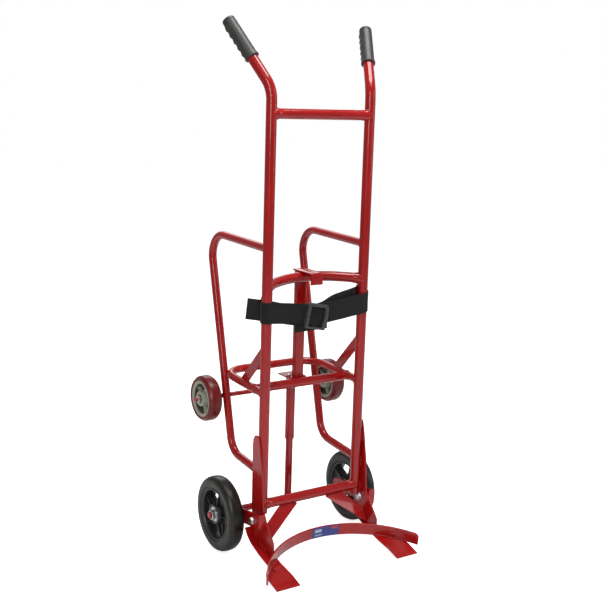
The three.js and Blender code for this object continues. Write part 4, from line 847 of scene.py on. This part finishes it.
def smoothed(stations, count):
    """A smooth line through stations: between two of them a cubic of u whose slope at each station is half
    the step between its neighbours, sampled evenly by length."""
    points = np.asarray(stations, float)
    points = np.vstack([2 * points[0] - points[1], points, 2 * points[-1] - points[-2]])
    u = np.linspace(0, 1, 17)[:-1, None, None]
    p0, p1, p2, p3 = (points[k:len(points) - 3 + k][None] for k in range(4))
    square, cube = 2 * p0 - 5 * p1 + 4 * p2 - p3, 3 * p1 - p0 - 3 * p2 + p3
    fine = 0.5 * (2 * p1 + (p2 - p0) * u + square * u ** 2 + cube * u ** 3)
    fine = np.vstack([fine.transpose(1, 0, 2).reshape(-1, 3), points[-2]])
    reach = np.concatenate([[0], np.cumsum(np.linalg.norm(np.diff(fine, axis=0), axis=1))])
    s = np.linspace(0, reach[-1], count)
    return np.stack([np.interp(s, reach, fine[:, k]) for k in range(3)], -1), s


def webbing_run(name, stations, node, phase, wave, tilt=(0.0, 0.0)):
    """Webbing along a line of middles: a thin rounded oblong section, width upright, pushed in and out by
    slow sines of its length and width, tipped across by a slope from one end's value to the other's."""
    count = max(int(np.linalg.norm(np.diff(np.asarray(stations), axis=0), axis=1).sum() / 3), 24)
    path, s = smoothed(stations, count)
    along = unit(np.gradient(path, axis=0) * [1, 1, 0])
    out = np.column_stack([along[:, 1], -along[:, 0], 0 * s])
    half = STRAP_WIDTH / 2
    face, edge = np.linspace(1 - half, half - 1, 25), np.array([half - 0.2, half, half - 0.2])
    width = np.concatenate([face, edge, face[::-1], -edge, [1 - half]])
    flat, over = np.ones(25), np.array([2 / 3, 0, -2 / 3])
    thick = np.concatenate([flat, over, -flat, -over, [1]]) * STRAP_THICK / 2
    fade = np.clip(np.minimum(s, s[-1] - s) / 30, 0, 1)[:, None]
    push = wave * fade * (np.sin(s[:, None] / 23 + phase + 0.035 * width) * 0.6
                          + np.sin(s[:, None] / 9.5 + 2 * phase - 0.06 * width) * 0.25
                          + 0.5 * np.cos(math.pi * width / STRAP_WIDTH) * np.sin(s[:, None] / 41 + phase))
    slope = (tilt[0] + (tilt[1] - tilt[0]) * s / s[-1])[:, None]
    depth = thick[None] + push + slope * width[None]
    rows = path[:, None] + depth[..., None] * out[:, None] + width[None, :, None] * Z
    uv = np.stack(np.broadcast_arrays(s[:, None] / 1000, width[None] / 1000), -1)
    uv = np.concatenate([uv[:1], uv, uv[-1:]]).reshape(-1, 2)
    make_piece(name, [(capped(rows), False, False)], webbing, "frame", [node], 60, uv)


def round_upright(side, start, stop, z0, z1, count, radius):
    """Stations round an upright: radius * (cos a, sin a), with the height sliding from z0 to z1."""
    angle = np.radians(np.linspace(start, stop, count))
    return np.column_stack([side * HALF_SPAN + radius * np.cos(angle), radius * np.sin(angle),
                            np.linspace(z0, z1, count)])


wrap = UPRIGHT_R + 0.6 + STRAP_THICK / 2
BUCKLE = np.array([-15.0, -24.0, 704.0])
outer_x, inner_x = HALF_SPAN + wrap, HALF_SPAN - UPRIGHT_R
left_run = np.vstack([round_upright(-1, 75, 270, STRAP_Z - 4, STRAP_Z - 3, 14, wrap),
                      [[-110, -20.5, STRAP_Z - 7], [-51, -22, 713], [-36, -23, 710], [-15, -25.5, 705],
                       [10, -25, 703], [24, -23, 702]]])
webbing_run("strap_left_run", left_run, "strap_front_left", 0.4, 1.2)
stub = [[-outer_x - 7, 70, 724], [-outer_x - 4, 48, 726], [-outer_x, 30, 727.5], [-177, 21.5, 728],
        [-160, 19.8, 727]]
webbing_run("strap_left_end", stub, "strap_front_left", 2.2, 0.8, (-0.12, 0.0))
right_run = np.vstack([[[6, -21.6, 709], [22, -21, 711], [85, -21, STRAP_Z - 9]],
                       round_upright(1, 270, 500, STRAP_Z, STRAP_BACK_Z, 16, wrap),
                       [[inner_x - 13, 0, STRAP_BACK_Z], [inner_x - 38, -7, STRAP_BACK_Z - 3],
                        [80, -10.5, STRAP_BACK_Z - 8], [48, -12.5, STRAP_BACK_Z - 15], [14, -14, 714],
                        [-14, -14, 708]]])
webbing_run("strap_right_run", right_run, "strap_front_right", 1.9, 0.7)
tail = [[29, -17, 694], [10, -17.5, 693], [-20, -18, 692.5], [-50, -17.5, 692], [-81, -16.5, 691]]
webbing_run("strap_tail", tail, "strap_front_right", 0.9, 0.8)
back_run = [[-outer_x + 4, 44, STRAP_Z - 1], [-outer_x + 6, 25, STRAP_Z - 1],
            [-HALF_SPAN, UPRIGHT_R + 4.5, STRAP_Z - 2], [-inner_x, UPRIGHT_R + 2, STRAP_Z - 4],
            [-inner_x + 14, 9, STRAP_Z - 6], [-106, -3, STRAP_Z - 12], [-70, -9.8, STRAP_Z - 17],
            [4, -9.8, 706]]
webbing_run("strap_back_run", back_run, "strap_back", 3.0, 0.4)

# ---------- buckle
# A ladder-lock moulded in dark grey plastic: an oblong frame, bowed on one side, with a thin middle bar.
# The webbing goes round the bars, and its own pull keeps it pinched there.
buckle_plastic = finish("buckle_plastic", (0.032, 0.031, 0.030), (0.048, 0.047, 0.045), (0.25, 0.35),
                        800, 40, 0.00003)
BUCKLE_TURN = math.radians(-11)


def on_buckle(points):
    """Buckle plane to plumb place: turned in its own plane about Y, then moved to the buckle's middle."""
    c, s = math.cos(BUCKLE_TURN), math.sin(BUCKLE_TURN)
    points = np.asarray(points, float)
    return points @ np.array([[c, 0, s], [0, 1, 0], [-s, 0, c]]) + BUCKLE


def moulded_bar(start, stop, width, depth, bow=0, around=28):
    """A bar with a squared-off oval section, width across the plane and depth along Y, bowed out by
    4 bow s (1 - s)."""
    s = np.concatenate([[0, 0.02, 0.06], np.linspace(0.12, 0.88, 11), [0.94, 0.98, 1]])[:, None, None]
    grow = np.concatenate([[0.7, 0.92], np.ones(13), [0.92, 0.7]])[:, None]
    start, stop = np.array(start, float), np.array(stop, float)
    across = unit(np.cross(unit(stop - start), Y))
    wide, deep = (size / 2 * grow * reach for size, reach in zip((width, depth), squared_oval(around, 0.5)))
    outward = (wide[..., None] + 4 * bow * s * (1 - s)) * across
    return capped(on_buckle(start + s * (stop - start) + outward + deep[..., None] * Y)), False, True


shells = [moulded_bar([-34, -1, 32], [31, -1, 32], 10, 16),
          moulded_bar([-34, -1, -33.5], [31, -1, -33.5], 7, 13),
          moulded_bar([-30.5, -1.5, -37], [-30.5, -1.5, 37], 12, 18),
          moulded_bar([27, -1.5, 37], [27, -1.5, -37], 12, 18, 5),
          moulded_bar([0, 2.5, -34], [0, 2.5, 34], 9, 5)]
make_piece("buckle_ladder_lock", shells, buckle_plastic, "frame", ["strap_buckle"], 50)
